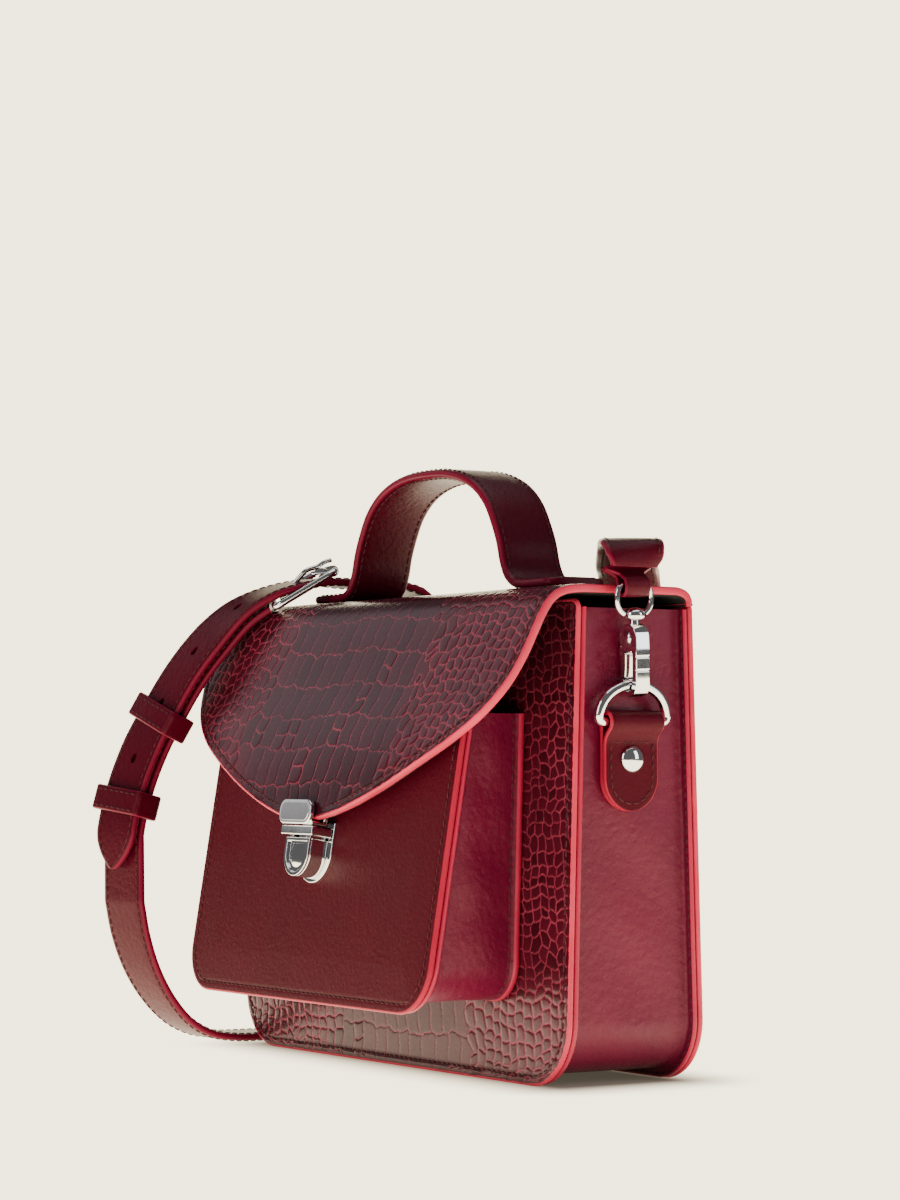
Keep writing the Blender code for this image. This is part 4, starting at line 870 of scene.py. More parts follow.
mesh("flap_croc", np.concatenate([V, np.array(ex).reshape(-1, 3)]), np.concatenate([F, np.array(f2)]), M_CROC, "flap", ["flap_panel"], smooth=60,
     attrs={"edge": np.concatenate([np.zeros(X.size), eg]), "groove": np.concatenate([(g * fade).ravel(), z0_]),
            "side": np.concatenate([sd.ravel(), z0_]), "tint": np.concatenate([tn.ravel(), z0_])})

st_flap, st_root = Stitches(), Stitches()
for sgn in (-1, 1):
    line = [(-np.interp(q, WS, WW), q) for q in np.linspace(3, FL - 1.5, 300)]
    ins = inset_line(line, 3.0)
    if ins[150][0] < line[150][0]:
        ins = inset_line(line, -3.0)
    ins = [(x_, q) for x_, q in ins if q < FL - 3]
    A = [Vector(flap_point(np.array(-sgn * x_), np.array(q), 0.13)) for x_, q in ins]
    B = [Vector(flap_point(np.array(-sgn * x_), np.array(q), -1.0)) - Vector(flap_point(np.array(-sgn * x_), np.array(q), 0.0)) for x_, q in ins]
    st_flap.line(A, B)

for half_, bot, top_, rad, yf, d_ in ((WIDTH / 2, 0.0, HEIGHT - 1, CORNER, front_y, 3.1), (POCKET_W / 2, POCKET_Z, POCKET_TOP - 1, POCKET_R, pocket_y, 3.0)):
    u = u_outline(half_ - d_, bot + d_, top_, rad - d_)
    u = dense(u, 2.0)
    st_root.line([Vector((x_, yf(z_) - (0.0 if yf is front_y else 0.1), z_)) for x_, z_ in u], [Vector((0, -1, 0.05))] * len(u))
u = dense(u_outline(WIDTH / 2 - 3.1, 3.1, 146, CORNER - 3.1), 2.0)
st_root.line([Vector((x_, back_y(z_), z_)) for x_, z_ in u], [Vector((0, 1, 0.05))] * len(u))
# along the ribs of both gussets
for half_, bot, top_, rad, f0, f1, kk in ((WIDTH / 2 - 1.3, 1.3, GUSSET_TOP - 1, CORNER - 1.3, front_y, F0 + FLANGE_T, 1), (WIDTH / 2 - 1.3, 1.3, GUSSET_TOP - 1, CORNER - 1.3, back_y, -F0 - FLANGE_T, -1),
                                          (POCKET_W / 2 - 1.2, POCKET_Z + 1.2, POCKET_TOP - 1.5, POCKET_R - 1.2, pocket_y, G + 1.6, 1)):
    u = dense(u_outline(half_, bot, top_, rad), 2.0)
    st_root.line([Vector((x_, f0(z_) + f1, z_)) for x_, z_ in u], [Vector((0, kk, 0))] * len(u), radius=0.26)
# pocket gusset: a line in front of its rear ridge
u = dense(u_outline(POCKET_W / 2 - POCKET_SEAM, POCKET_Z + POCKET_SEAM, POCKET_TOP - 1, POCKET_R - POCKET_SEAM), 2.0)
nn = []
for i in range(len(u)):
    x0, z0 = u[max(i - 1, 0)]
    x1, z1 = u[min(i + 1, len(u) - 1)]
    L = math.hypot(x1 - x0, z1 - z0) or 1
    nn.append(Vector(((z1 - z0) / L, 0, -(x1 - x0) / L)))
st_root.line([Vector((x_, front_y(z_) - 4.2, z_)) for x_, z_ in u], nn, radius=0.26)

# ---------------------------------------------------------------- handle
hz = FLAP_TOP + 0.35 + HANDLE_T / 2
half = [(74.0, hz), (66.0, hz), (58.0, hz), (52.5, hz + 0.6), (48.8, hz + 3.0), (46.2, hz + 7.5), (44.2, hz + 14.0),
        (41.3, 176.5), (36.8, 183.5), (30.3, 189.0), (22.3, 192.6), (12.0, 194.8), (0.0, 195.3)]
hp = smooth_path([(-x, HANDLE_Y, z) for x, z in half] + [(x, HANDLE_Y, z) for x, z in reversed(half[:-1])], per=8)


def handle_width(sv, total):
    e = min(sv, total - sv)
    r = 4.0
    return HANDLE_W - (2 * r - 2 * math.sqrt(max(r * r - (r - e) ** 2, 0.0)) if e < r else 0.0)


_, fr = strip("handle", hp, [Vector((0, 1, 0))] * len(hp), handle_width, HANDLE_T, M_STRAP, "flap", ["handle_strap"], crown=0.3)


def edge_stitches(acc, frames, inset, both=True, faces=(1, -1), lo_=0.0, hi_=1.0, thick=2.8, ends=3.0, radius=0.28, crown=0.2):
    L = frames[-1][5]
    use = [f for f in frames if ends + lo_ * L <= f[5] <= hi_ * L - ends]
    for sd_ in (-1, 1):
        for fc in faces:
            acc.line([p + w * sd_ * (hw - inset) + q * fc * (thick / 2 - crown * 0.5) for p, t_, w, q, hw, s_v in use], [q * fc for p, t_, w, q, hw, s_v in use], radius=radius)


edge_stitches(st_flap, fr, 2.2, thick=HANDLE_T, crown=0.3)
for sgn in (-1, 1):
    e = [(sgn * 71.6, HANDLE_Y + y, hz + HANDLE_T / 2 - 0.1) for y in np.linspace(-8, 8, 20)]
    st_flap.line([Vector(p) for p in e], [Vector((0, 0, 1))] * len(e))

# ---------------------------------------------------------------- lock
LOCK_Z = 75.0
slope = math.atan(LEAN_FRONT / HEIGHT + POCKET_TAPER)
LU = Vector((0, math.sin(slope), math.cos(slope)))
LN = Vector((0, -math.cos(slope), math.sin(slope)))
LO = Vector((0, pocket_y(LOCK_Z), LOCK_Z))


def lock_at(x, n, u):
    return LO + Vector((x, 0, 0)) + LU * u + LN * n


def lock_prism(name, out, n0, n1, mat, body, rep=(), bevel=0.3, scale_top=None):
    n = len(out)
    verts = [lock_at(x, n0, u) for x, u in out]
    if scale_top:
        cx = sum(p[0] for p in out) / n
        cu = sum(p[1] for p in out) / n
        verts += [lock_at(cx + (x - cx) * scale_top[0], n1, cu + (u - cu) * scale_top[1]) for x, u in out]
    else:
        verts += [lock_at(x, n1, u) for x, u in out]
    faces = [list(range(n)), list(range(2 * n - 1, n - 1, -1))]
    faces += [[i, (i + 1) % n, n + (i + 1) % n, n + i] for i in range(n)]
    return mesh(name, verts, faces, mat, body, rep, smooth=30, bevel=bevel)


def shield(half_w, top, bottom, steps=28):
    r = half_w
    pts = [(-half_w, top)]
    for k in range(steps + 1):
        a = math.pi + math.pi * k / steps
        pts.append((r * math.cos(a), bottom + r + r * math.sin(a)))
    pts.append((half_w, top))
    return pts


def rounded(hw, hh, r, cx=0.0, cy=0.0, steps=8):
    pts = []
    for qx, qy, a0 in ((1, 1, 0), (-1, 1, 90), (-1, -1, 180), (1, -1, 270)):
        for k in range(steps + 1):
            a = math.radians(a0 + 90.0 * k / steps)
            pts.append((cx + qx * (hw - r) + r * math.cos(a), cy + qy * (hh - r) + r * math.sin(a)))
    return pts


lock_prism("lock_plate", shield(10.2, 5.0, -15.0), 0.2, 1.35, M_METAL, "root", ["lock_base_plate"], 0.35)
lock_prism("lock_box", shield(7.6, -1.1, -13.7), 1.35, 7.6, M_METAL, "root", ["lock_housing"], 0.5)
# rim round the box's face, and the facetted shield in it
so, si = shield(7.6, -1.1, -13.7), shield(6.2, -2.3, -12.3)
nS = len(so)
rv = [lock_at(x, 7.4, u) for x, u in so] + [lock_at(x * 0.99, 8.4, u) for x, u in so] + [lock_at(x, 8.4, u) for x, u in si] + [lock_at(x, 7.3, u) for x, u in si]
rf = []
for i in range(nS):
    j = (i + 1) % nS
    rf += [[i, j, nS + j, nS + i], [nS + i, nS + j, 2 * nS + j, 2 * nS + i], [2 * nS + i, 2 * nS + j, 3 * nS + j, 3 * nS + i], [3 * nS + i, 3 * nS + j, j, i]]
mesh("lock_rim", rv, rf, M_METAL, "root", smooth=30, bevel=0.25)
sh = shield(5.4, -3.0, -11.6, 18)
cv = [lock_at(x, 7.35, u) for x, u in sh] + [lock_at(0, 8.5, -3.2), lock_at(0, 8.9, -6.5)]
nh = len(sh)
cf = []
for i in range(nh - 1):
    cf.append([i, i + 1, nh + 1])
cf += [[nh - 1, 0, nh], [0, nh + 1, nh], [nh - 1, nh, nh + 1]]
mesh("lock_facets", cv, cf, M_METAL, "root", smooth=20)
lock_prism("press_bar", rounded(9.9, 1.5, 0.5, 0.0, 1.2), 1.8, 9.4, M_METAL, "press_bar", ["lock_slider"], 0.4)
lock_prism("press_stem", rounded(2.4, 1.6, 0.3, 0.0, -1.6), 3.2, 6.6, M_METAL, "press_bar", (), 0.2)
for sx in (-1, 1):
    lock_prism("lock_post_%s" % ("r" if sx > 0 else "l"), rounded(1.0, 1.0, 0.3, sx * 5.6, -1.0), 2.0, 7.6, M_METAL, "root", (), 0.2)
lock_prism("lock_cap_face", rounded(10.0, 3.98, 3.4, 0.0, 7.02), 9.3, 11.0, M_METAL, "flap", ["lock_cap", "lock_tongue"], 0.45)
lock_prism("lock_cap_panel", rounded(8.7, 2.9, 2.5, 0.0, 7.02), 10.9, 11.12, M_BRUSH, "flap", (), 0.08)
lock_prism("lock_cap_foot", rounded(9.7, 0.6, 0.4, 0.0, 3.7), 3.8, 9.6, M_METAL, "flap", (), 0.2)
lock_prism("lock_cap_back", rounded(9.4, 3.4, 2.4, 0.0, 6.6), 3.6, 5.0, M_METAL, "flap", (), 0.2)
lock_prism("lock_tongue_plate", rounded(4.2, 3.1, 0.4, 0.0, 6.2), 2.4, 3.65, M_METAL, "flap", (), 0.25)

# ---------------------------------------------------------------- ring tabs, rings, rivets
XG = WIDTH / 2 - SEAM


def ring_tab(name, s):
    r = RING_WIRE / 2 + 0.6 + TAB_T / 2
    zb = 84.6
    pts = []
    xb = XG + 0.35 + TAB_T / 2
    for z in np.linspace(zb, RING_Z - 6.5, 14):
        pts.append((xb, z))
    pts.append((xb + 0.02, RING_Z - 3.0))
    for k in range(0, 15):
        a = math.radians(180 - 210.0 * k / 14)
        pts.append((RING_X + r * math.cos(a), RING_Z + r * math.sin(a)))
    xf = xb + TAB_T + 0.35
    pts.append((xf + 0.75, RING_Z - 4.4))
    pts.append((xf + 0.1, RING_Z - 6.2))
    for z in np.linspace(zb + 16.0, zb, 10):
        pts.append((xf, z))
    P = smooth_path([(x * s, RING_Y, z) for x, z in pts], per=4)

    def width(sv, total):
        e = min(sv, total - sv)
        R = TAB_W / 2
        return TAB_W if e >= R else max(2 * math.sqrt(max(R * R - (R - e) ** 2, 0.0)), 2.5)

    return strip(name + "_skin", P, [Vector((0, 1, 0))] * len(P), width, TAB_T + 0.25, M_SMOOTH, "root", [name], crown=0.05, r=0.7)


ring_path = []
for k in range(1, 72):
    a = math.pi * k / 72
    ring_path.append((12.7 * math.cos(a), 10.7 * math.sin(a) ** 0.9 + 0.95))
for y in (-12.4, -12.0, -11.4, -10.7, -8.0, 0.0, 8.0, 10.7, 11.4, 12.0, 12.4):
    ay = abs(y)
    ring_path.append((y, 0.75 if ay > 12.2 else (0.4 if ay > 11.9 else (0.15 if ay > 11.2 else (0.03 if ay > 10 else 0.0)))))
RING_TILT = {"right": math.radians(6.0), "left": math.radians(36.0)}
for name, s in (("right", 1), ("left", -1)):
    _, fr = ring_tab("ring_tab_" + name, s)
    xo = XG + 0.35 + TAB_T * 2 + 0.35 + 0.12
    R = TAB_W / 2 - 2.3
    arc = [Vector((s * xo, RING_Y - R, z)) for z in np.linspace(105.8, 84.6 + TAB_W / 2, 12)]
    arc += [Vector((s * xo, RING_Y - R * math.cos(a), 84.6 + TAB_W / 2 - R * math.sin(a))) for a in np.linspace(0.1, math.pi - 0.1, 24)]
    arc += [Vector((s * xo, RING_Y + R, z)) for z in np.linspace(84.6 + TAB_W / 2, 105.8, 12)]
    st_root.line(arc, [Vector((s, 0, 0))] * len(arc), radius=0.3)
    row = [Vector((s * xo, RING_Y + y, 105.8)) for y in np.linspace(-R + 1, R - 1, 10)]
    st_root.line(row, [Vector((s, 0, 0))] * len(row), radius=0.3)
    x0 = XG + 0.35 * 2 + TAB_T * 2 + 0.2
    turned("rivet_" + name, (0, RING_Y, RIVET_Z), (s, 0, 0), [(x0 - 1.0, 0), (x0 - 1.0, 2.0), (x0, 2.0), (x0, 4.0), (x0 + 0.3, 4.15), (x0 + 0.8, 3.95), (x0 + 1.4, 3.2), (x0 + 1.85, 2.0), (x0 + 2.05, 0.9), (x0 + 2.1, 0)],
           M_METAL, "root", ["tab_rivet_" + name])
    up = 1 if s > 0 else -1
    tilt = RING_TILT[name]
    tube("ring_wire_" + name, [(s * (RING_X + z * math.sin(tilt)), RING_Y + y, RING_Z + up * z * math.cos(tilt)) for y, z in ring_path],
         RING_WIRE / 2, M_METAL, "ring_" + name, ["d_ring_" + name], closed=True, up=(1, 0, 0))

# ---------------------------------------------------------------- hooks
EYE_C, EYE_RY, EYE_RZ, EYE_WIRE = 25.9, 6.4, 5.15, 0.95


def hook(tag, s, base, along):
    d = Vector(along).normalized()
    es = Vector((s, 0, 0))
    es = (es - d * es.dot(d)).normalized()
    ey = Vector((0, 1, 0))
    ey = (ey - d * ey.dot(d) - es * ey.dot(es)).normalized()
    B = Vector(base)

    def at(x, z, y=0.0):
        return B + es * x + d * z + ey * y

    def plate(name, outline, half_y, body, rep=(), bevel=0.5, mat=M_METAL, taper=None):
        n = len(outline)
        verts = [at(x, z, -half_y) for x, z in outline] + [at(x, z, half_y) for x, z in outline]
        faces = [list(range(n)), list(range(2 * n - 1, n - 1, -1))]
        faces += [[i, (i + 1) % n, n + (i + 1) % n, n + i] for i in range(n)]
        return mesh(name, verts, faces, mat, body, rep, smooth=30, bevel=bevel)

    hook_b, gate_b, eye_b = "hook_" + tag, "gate_" + tag, "eye_" + tag
    bend = [(-3.9, 1.5), (-4.0, 0.4), (-3.9, -0.6), (-3.5, -1.9), (-2.9, -2.8), (-2.0, -3.45), (-1.0, -3.8), (0.0, -3.95), (1.2, -3.8), (2.3, -3.4), (3.3, -2.7), (4.1, -1.7), (4.5, -0.6), (4.6, 1.0), (4.6, 4.2), (4.1, 4.5), (4.6, 4.8), (4.6, 8.4), (4.1, 8.7), (4.6, 9.0), (4.6, 10.8)]
    head = [(4.4 * math.cos(math.radians(a)), 14.4 + 4.4 * math.sin(math.radians(a))) for a in np.linspace(10, 170, 22)]
    low = [(4.4 * math.cos(math.radians(a)), 14.4 + 4.4 * math.sin(math.radians(a))) for a in np.linspace(185, 295, 12)]
    inn = [(2.4, 9.2), (2.35, 4.0), (2.3, 0.0), (2.0, -0.9), (1.4, -1.6), (0.6, -2.0), (-0.3, -2.15), (-1.2, -1.85), (-1.8, -1.2), (-2.1, -0.5), (-2.2, 1.5)]
    plate("hook_frame_" + tag, bend + head + low + inn, 2.6, hook_b, ["hook_body_" + tag], 0.55)
    turned("hook_post_" + tag, at(0, 0), d, [(18.2, 0), (18.2, 1.7), (20.0, 1.5), (20.0, 0)], M_METAL, hook_b)
    turned("hook_pin_" + tag, at(0, 14.4), ey, [(-3.45, 0), (-3.4, 0.9), (-3.1, 1.7), (-2.7, 2.0), (-2.6, 3.0), (-2.5, 3.4), (2.5, 3.4), (2.6, 3.0), (2.7, 2.0), (3.1, 1.7), (3.4, 0.9), (3.45, 0)],
           M_BRUSH, hook_b, ["gate_pin_" + tag])
    gate = [(-4.3, 1.85), (-2.0, 1.85), (-1.7, 5.0), (-1.6, 9.6), (-2.6, 10.3), (-3.6, 11.1), (-4.6, 12.4), (-5.3, 11.2), (-5.0, 8.0), (-4.4, 5.0)]
    plate("hook_lever_" + tag, gate, 2.1, gate_b, ["hook_gate_" + tag], 0.5)
    turned("hook_swivel_" + tag, at(0, 0), d, [(20.05, 0), (20.05, 2.5), (20.25, 3.0), (20.7, 3.35), (21.4, 3.45), (22.1, 3.35), (22.8, 2.9), (23.3, 2.3), (23.7, 1.5), (23.9, 0)], M_METAL, eye_b,
           ["hook_collar_" + tag])
    eye = []
    for k in range(73):
        a = math.radians(38 + 284.0 * k / 72)
        c, sn = -math.cos(a), math.sin(a)
        flat = 0.62 if c > 0 else 1.0
        eye.append(at(0, EYE_C + EYE_RZ * math.copysign(abs(c) ** flat, c), EYE_RY * math.copysign(abs(sn) ** flat, sn)))
    tube("hook_loop_" + tag, eye, EYE_WIRE, M_METAL, eye_b, ["hook_eye_" + tag], up=es, sides=18)
    E = EYE_C + EYE_RZ
    lane = [(-3.3, E + 5.4), (-2.95, E + 4.4), (-1.9, E + 3.4), (-0.2, E + 2.4), (1.2, E + 1.6), (2.1, E - 0.2), (2.0, E - 1.8), (1.0, E - 3.2),
            (-0.6, E - 3.4), (-1.8, E - 2.4), (-2.3, E - 0.6), (-2.9, E + 1.2), (-3.9, E + 3.2), (-4.9, E + 4.8)]
    P = smooth_path([at(x, z) for x, z in lane], per=6)

    def narrow(sv, total):
        e = min(sv, total - sv)
        return 9.4 + 8.0 * max(0.0, 1.0 - max(e - 1.0, 0.0) / 2.6) ** 1.5

    tongue, _ = strip("tongue_" + tag, P, [ey] * len(P), narrow, 1.3, M_STRAP, "root", ["strap_tongue_" + tag], crown=0.05, r=0.5)
    return at, tongue


tr, tl = RING_TILT["right"], RING_TILT["left"]
top = 10.7 + 0.95
AR, tongue_r = hook("right", 1, (RING_X + top * math.sin(tr), RING_Y, RING_Z + top * math.cos(tr)), (0.065, -0.05, 1.0))
AL, tongue_l = hook("left", -1, (-RING_X - top * math.sin(tl), RING_Y, RING_Z - top * math.cos(tl)), (-0.01, 0.0, -1.0))

# ---------------------------------------------------------------- shoulder strap
s0 = AR(0.2, EYE_C + EYE_RZ + 5.4)
LONG = [tuple(s0),
    (104.3, -3.6, 161.6), (103.6, -3.3, 164.2), (101.6, -2.4, 166.3), (98.2, -0.4, 167.6), (93.6, 2.4, 168.0), (88.2, 6.0, 167.4), (82.5, 9.8, 165.8), (75.0, 14.8, 164.0), (68.5, 19.4, 162.0),
    (62.0, 24.8, 160.4), (56.2, 29.6, 156.6), (52.2, 33.6, 149.2), (49.8, 35.4, 136.0), (48.0, 36.0, 118.0), (46.5, 38.0, 95.0), (44.0, 41.5, 70.0),
    (39.5, 47.5, 46.0), (31.5, 57.0, 28.0), (18.5, 69.5, 16.6), (1.0, 84.0, 11.6),
    (-20.0, 99.0, 10.6), (-42.0, 111.5, 10.6), (-65.0, 117.0, 10.6), (-86.0, 112.0, 10.6), (-98.0, 98.0, 11.0),
    (-98.5, 81.5, 13.5), (-90.0, 66.5, 20.0), (-79.5, 54.5, 32.0), (-71.0, 45.5, 50.0), (-65.0, 39.0, 75.0),
    (-61.8, 34.5, 100.0), (-60.6, 31.0, 124.0), (-60.4, 28.4, 142.0), (-60.8, 25.6, 153.0), (-62.0, 20.5, 159.2),
    (-63.6, 13.0, 161.4), (-65.4, 5.0, 161.9), (-67.5, -4.0, 162.2), (-69.5, -12.0, 162.6), (-72.5, -20.5, 161.4), (-77.0, -29.6, 158.5),
    (-83.2, -38.6, 152.6), (-90.0, -46.4, 143.0), (-96.2, -53.0, 131.8), (-101.2, -59.2, 118.6), (-105.0, -65.2, 104.8),
    (-107.2, -70.0, 90.4), (-108.0, -73.2, 76.0), (-108.2, -74.4, 62.0)]
PER = 9
long_path = smooth_path(LONG, per=PER)
R1 = (0.545, 0.839, 0.0)


def keyed_at(path, keys):
    at, where = [], 0
    for p, d in keys:
        where = min(range(where, len(path)), key=lambda i: (path[i] - Vector(p)).length)
        at.append((where, Vector(d).normalized()))
    out = []
    for i in range(len(path)):
        if i <= at[0][0]:
            out.append(at[0][1].copy())
        elif i >= at[-1][0]:
            out.append(at[-1][1].copy())
        else:
            for (i0, d0), (i1, d1) in zip(at, at[1:]):
                if i0 <= i < i1:
                    out.append(d0.slerp(d1, (i - i0) / (i1 - i0)) if (d0 - d1).length > 1e-4 else d0.copy())
                    break
    return out


def keyed(path, keys):
    S = lengths(path)
    out = []
    for s in S:
        u = s / S[-1]
        for (u0, d0), (u1, d1) in zip(keys, keys[1:]):
            if u <= u1 or u1 == keys[-1][0]:
                t = min(max((u - u0) / (u1 - u0), 0.0), 1.0)
                t = t * t * (3 - 2 * t)
                out.append(Vector(d0).normalized().slerp(Vector(d1).normalized(), t) if t not in (0.0, 1.0)
                           else Vector(d1 if t else d0).normalized())
                break
    return out


long_wides = keyed_at(long_path, [
    (LONG[0], (0.0, 1.0, 0.0)), (LONG[1], (0.02, 1.0, 0.0)), (LONG[2], (0.12, 0.99, 0.0)), ((101.6, -2.4, 166.3), (0.27, 0.96, 0.0)), ((98.2, -0.4, 167.6), (0.45, 0.89, 0.0)), ((93.6, 2.4, 168.0), R1), ((48.0, 36.0, 118.0), R1), ((44.0, 41.5, 70.0), (-0.15, 1.0, 0.05)),
    ((39.5, 47.5, 46.0), (-0.35, 0.85, 0.30)), ((31.5, 57.0, 28.0), (-0.45, 0.50, 0.75)), ((18.5, 69.5, 16.6), (-0.20, 0.20, 1.0)),
    ((1.0, 84.0, 11.6), (0.0, 0.0, 1.0)), ((-98.0, 98.0, 11.0), (0.0, 0.0, 1.0)), ((-98.5, 81.5, 13.5), (-0.05, 0.20, 1.0)),
    ((-90.0, 66.5, 20.0), (-0.30, 0.50, 0.85)), ((-79.5, 54.5, 32.0), (-0.52, 0.65, 0.55)), ((-71.0, 45.5, 50.0), (-0.68, 0.70, 0.20)),
    ((-65.0, 39.0, 75.0), (-0.85, 0.52, 0.0)), ((-61.8, 34.5, 100.0), (-0.95, 0.25, 0.0)), ((-60.6, 31.0, 124.0), (-0.985, 0.10, 0.0)),
    ((-67.5, -4.0, 162.2), (-0.985, 0.15, 0.0)), ((-77.0, -29.6, 158.5), (-0.975, 0.18, 0.10)), ((-90.0, -46.4, 143.0), (-0.96, -0.05, 0.20)),
    ((-105.0, -65.2, 104.8), (-0.97, -0.22, 0.05)), (LONG[-1], (-0.972, -0.235, 0.0))])


def frame_at(path, wides, i):
    n = len(path)
    t = (path[min(i + 1, n - 1)] - path[max(i - 1, 0)]).normalized()
    w = (wides[i] - t * wides[i].dot(t)).normalized()
    return t, w, t.cross(w).normalized()


def tip_width(s, total):
    e = total - s
    if e < 14.0:
        return STRAP_W * (0.12 + 0.88 * math.sin(math.pi / 2 * e / 14.0) ** 0.8)
    if s < 9.0:
        return STRAP_W * (0.86 + 0.14 * min(1.0, s / 3.0))
    return STRAP_W


ib = min(range(len(long_path) * 2 // 3, len(long_path)), key=lambda i: abs(long_path[i].y + 20.5))


def along(i, dist):
    step = 1 if dist > 0 else -1
    run = 0.0
    while run < abs(dist):
        run += (long_path[i + step] - long_path[i]).length
        i += step
    return i


i_roll, i_loop = along(ib, -10.0), along(ib, 10.5)
t_r, w_r, q_r = frame_at(long_path, long_wides, i_roll)
t_l, w_l, q_l = frame_at(long_path, long_wides, i_loop)
if q_r.z < 0:
    q_r = -q_r
if q_l.z < 0:
    q_l = -q_l
roll_c = long_path[i_roll] + q_r * (STRAP_T / 2 + 0.4 + 1.9)
loop_c = long_path[i_loop] - q_l * (STRAP_T / 2 + 0.4 + 1.15)
wb = (w_r + w_l).normalized()
BW = STRAP_W / 2 + 1.85 + 1.15
along_b = (roll_c - loop_c).normalized()
up_b = along_b.cross(wb)
if up_b.z < 0:
    up_b = -up_b
up_q = (q_r + q_l).normalized()


def mid(tt, qq):
    return long_path[ib] - (along_b - up_q * along_b.dot(up_q)).normalized() * (-tt) + up_q * qq


loop = []
L_b = (roll_c - loop_c).length
for cx, cy in rounded(BW, L_b / 2, 2.6, steps=8):
    share = (L_b / 2 + cy) / L_b
    loop.append(loop_c + along_b * (L_b / 2 + cy) + (w_l * (1 - share) + w_r * share).normalized() * cx)
dl = []
for a, b in zip(loop, loop[1:] + loop[:1]):
    k = max(1, int((b - a).length / 1.5))
    dl += [a.lerp(b, i / k) for i in range(k)]
buckle = tube("buckle_wire", dl, 1.25, M_METAL, "flap", ["buckle_frame"], closed=True, up=up_b)
roller = turned("roller_sleeve", roll_c, w_r, [(-9.2, 0), (-9.2, 1.75), (-9.0, 2.05), (9.0, 2.05), (9.2, 1.75), (9.2, 0)], M_METAL, "buckle_roller", ["buckle_roller"])
prong_pts = [loop_c + along_b * 2.9 - up_q * 0.2, mid(-5.2, -2.7), mid(-3.4, -1.4), mid(-1.6, 0.6), mid(0.6, 2.6), mid(3.6, 4.6),
             roll_c + up_q * 3.35 - along_b * 3.0, roll_c + up_q * 3.45 + along_b * 0.2, roll_c + up_q * 3.0 + along_b * 2.6]
prong = tube("prong", smooth_path(prong_pts, per=6), lambda u: 1.05 - 0.25 * u, M_METAL, "buckle_prong", ["buckle_prong"], up=wb)

long_ob, long_fr = strip("shoulder_strap_long", long_path, long_wides, tip_width, STRAP_T, M_STRAP, rep=["strap_long"], ride=False, r=1.05)

# oval holes for the prong, from the buckle down to the tip
hv, hf = [], []
s_buckle = lengths(long_path)[ib]
for k in range(1, 5):
    f_ = min(long_fr, key=lambda f: abs(f[5] - (s_buckle + 1.5 + 21.5 * k)))
    o_ = len(hv)
    for hgt in (-4.0, 4.0):
        for a in range(20):
            c_, s_n = math.cos(2 * math.pi * a / 20), math.sin(2 * math.pi * a / 20)
            hv.append(f_[0] + f_[1] * c_ * 1.9 + f_[2] * s_n * 1.15 + f_[3] * hgt)
    hf += [[o_ + a, o_ + (a + 1) % 20, o_ + 20 + (a + 1) % 20, o_ + 20 + a] for a in range(20)]
    hf += [[o_ + a for a in range(19, -1, -1)], [o_ + 20 + a for a in range(20)]]
cut = mesh("hole_cutter", hv, hf, M_STRAP, ride=False)
mod = long_ob.modifiers.new("holes", "BOOLEAN")
mod.operation, mod.solver, mod.object = "DIFFERENCE", "EXACT", cut
dg = bpy.context.evaluated_depsgraph_get()
new_me = bpy.data.meshes.new_from_object(long_ob.evaluated_get(dg), preserve_all_data_layers=True, depsgraph=dg)
long_ob.modifiers.clear()
if len(new_me.vertices) > 0.8 * len(long_ob.data.vertices):
    long_ob.data = new_me
bpy.data.objects.remove(cut, do_unlink=True)

under, under_w = [], []
i = len(long_path) - 1
run = 0.0
while run < 12.0:
    run += (long_path[i] - long_path[i - 1]).length
    i -= 1
while i > i_loop:
    t, w, q = frame_at(long_path, long_wides, i)
    if q.dot(Vector((0.3, 1.0, -0.6))) < 0:
        q = -q
    under.append(long_path[i] + q * PITCH)
    under_w.append(w)
    i -= 1
s2, s3 = AL(0.0, EYE_C + EYE_RZ + 5.2), AL(0.0, EYE_C + EYE_RZ + 8.0)
SHORT = [tuple(s2), tuple(s3),
    (-107.6, -0.9, 48.0), (-107.8, 1.0, 36.0), (-108.0, 3.6, 24.0), (-108.0, 6.0, 13.5), (-108.0, 5.4, 6.0),
    (-108.0, 0.0, 2.4), (-108.0, -8.5, 1.75), (-108.0, -19.0, 1.75), (-108.0, -29.5, 2.0), (-108.0, -39.5, 3.6),
    (-108.0, -48.6, 8.2), (-108.0, -56.4, 16.0), (-108.0, -63.0, 26.5), (-107.9, -67.6, 38.5), (-107.8, -70.2, 50.5)]
low_path = smooth_path(SHORT, per=PER)
low_w = keyed(low_path, [(0.0, (0.0, 1.0, 0.0)), (0.12, (-0.35, 0.93, 0.0)), (0.40, (-0.985, 0.10, 0.0)), (1.0, (-0.972, -0.235, 0.0))])
while (under[0] - low_path[-1]).z < 0.8:
    under.pop(0)
    under_w.pop(0)
short_path = low_path + under
short_wides = low_w + [w if w.x < 0 else -w for w in under_w]
short_ob, short_fr = strip("shoulder_strap_short", short_path, short_wides, STRAP_W, STRAP_T, M_STRAP, rep=["strap_short"], ride=False, r=1.05)


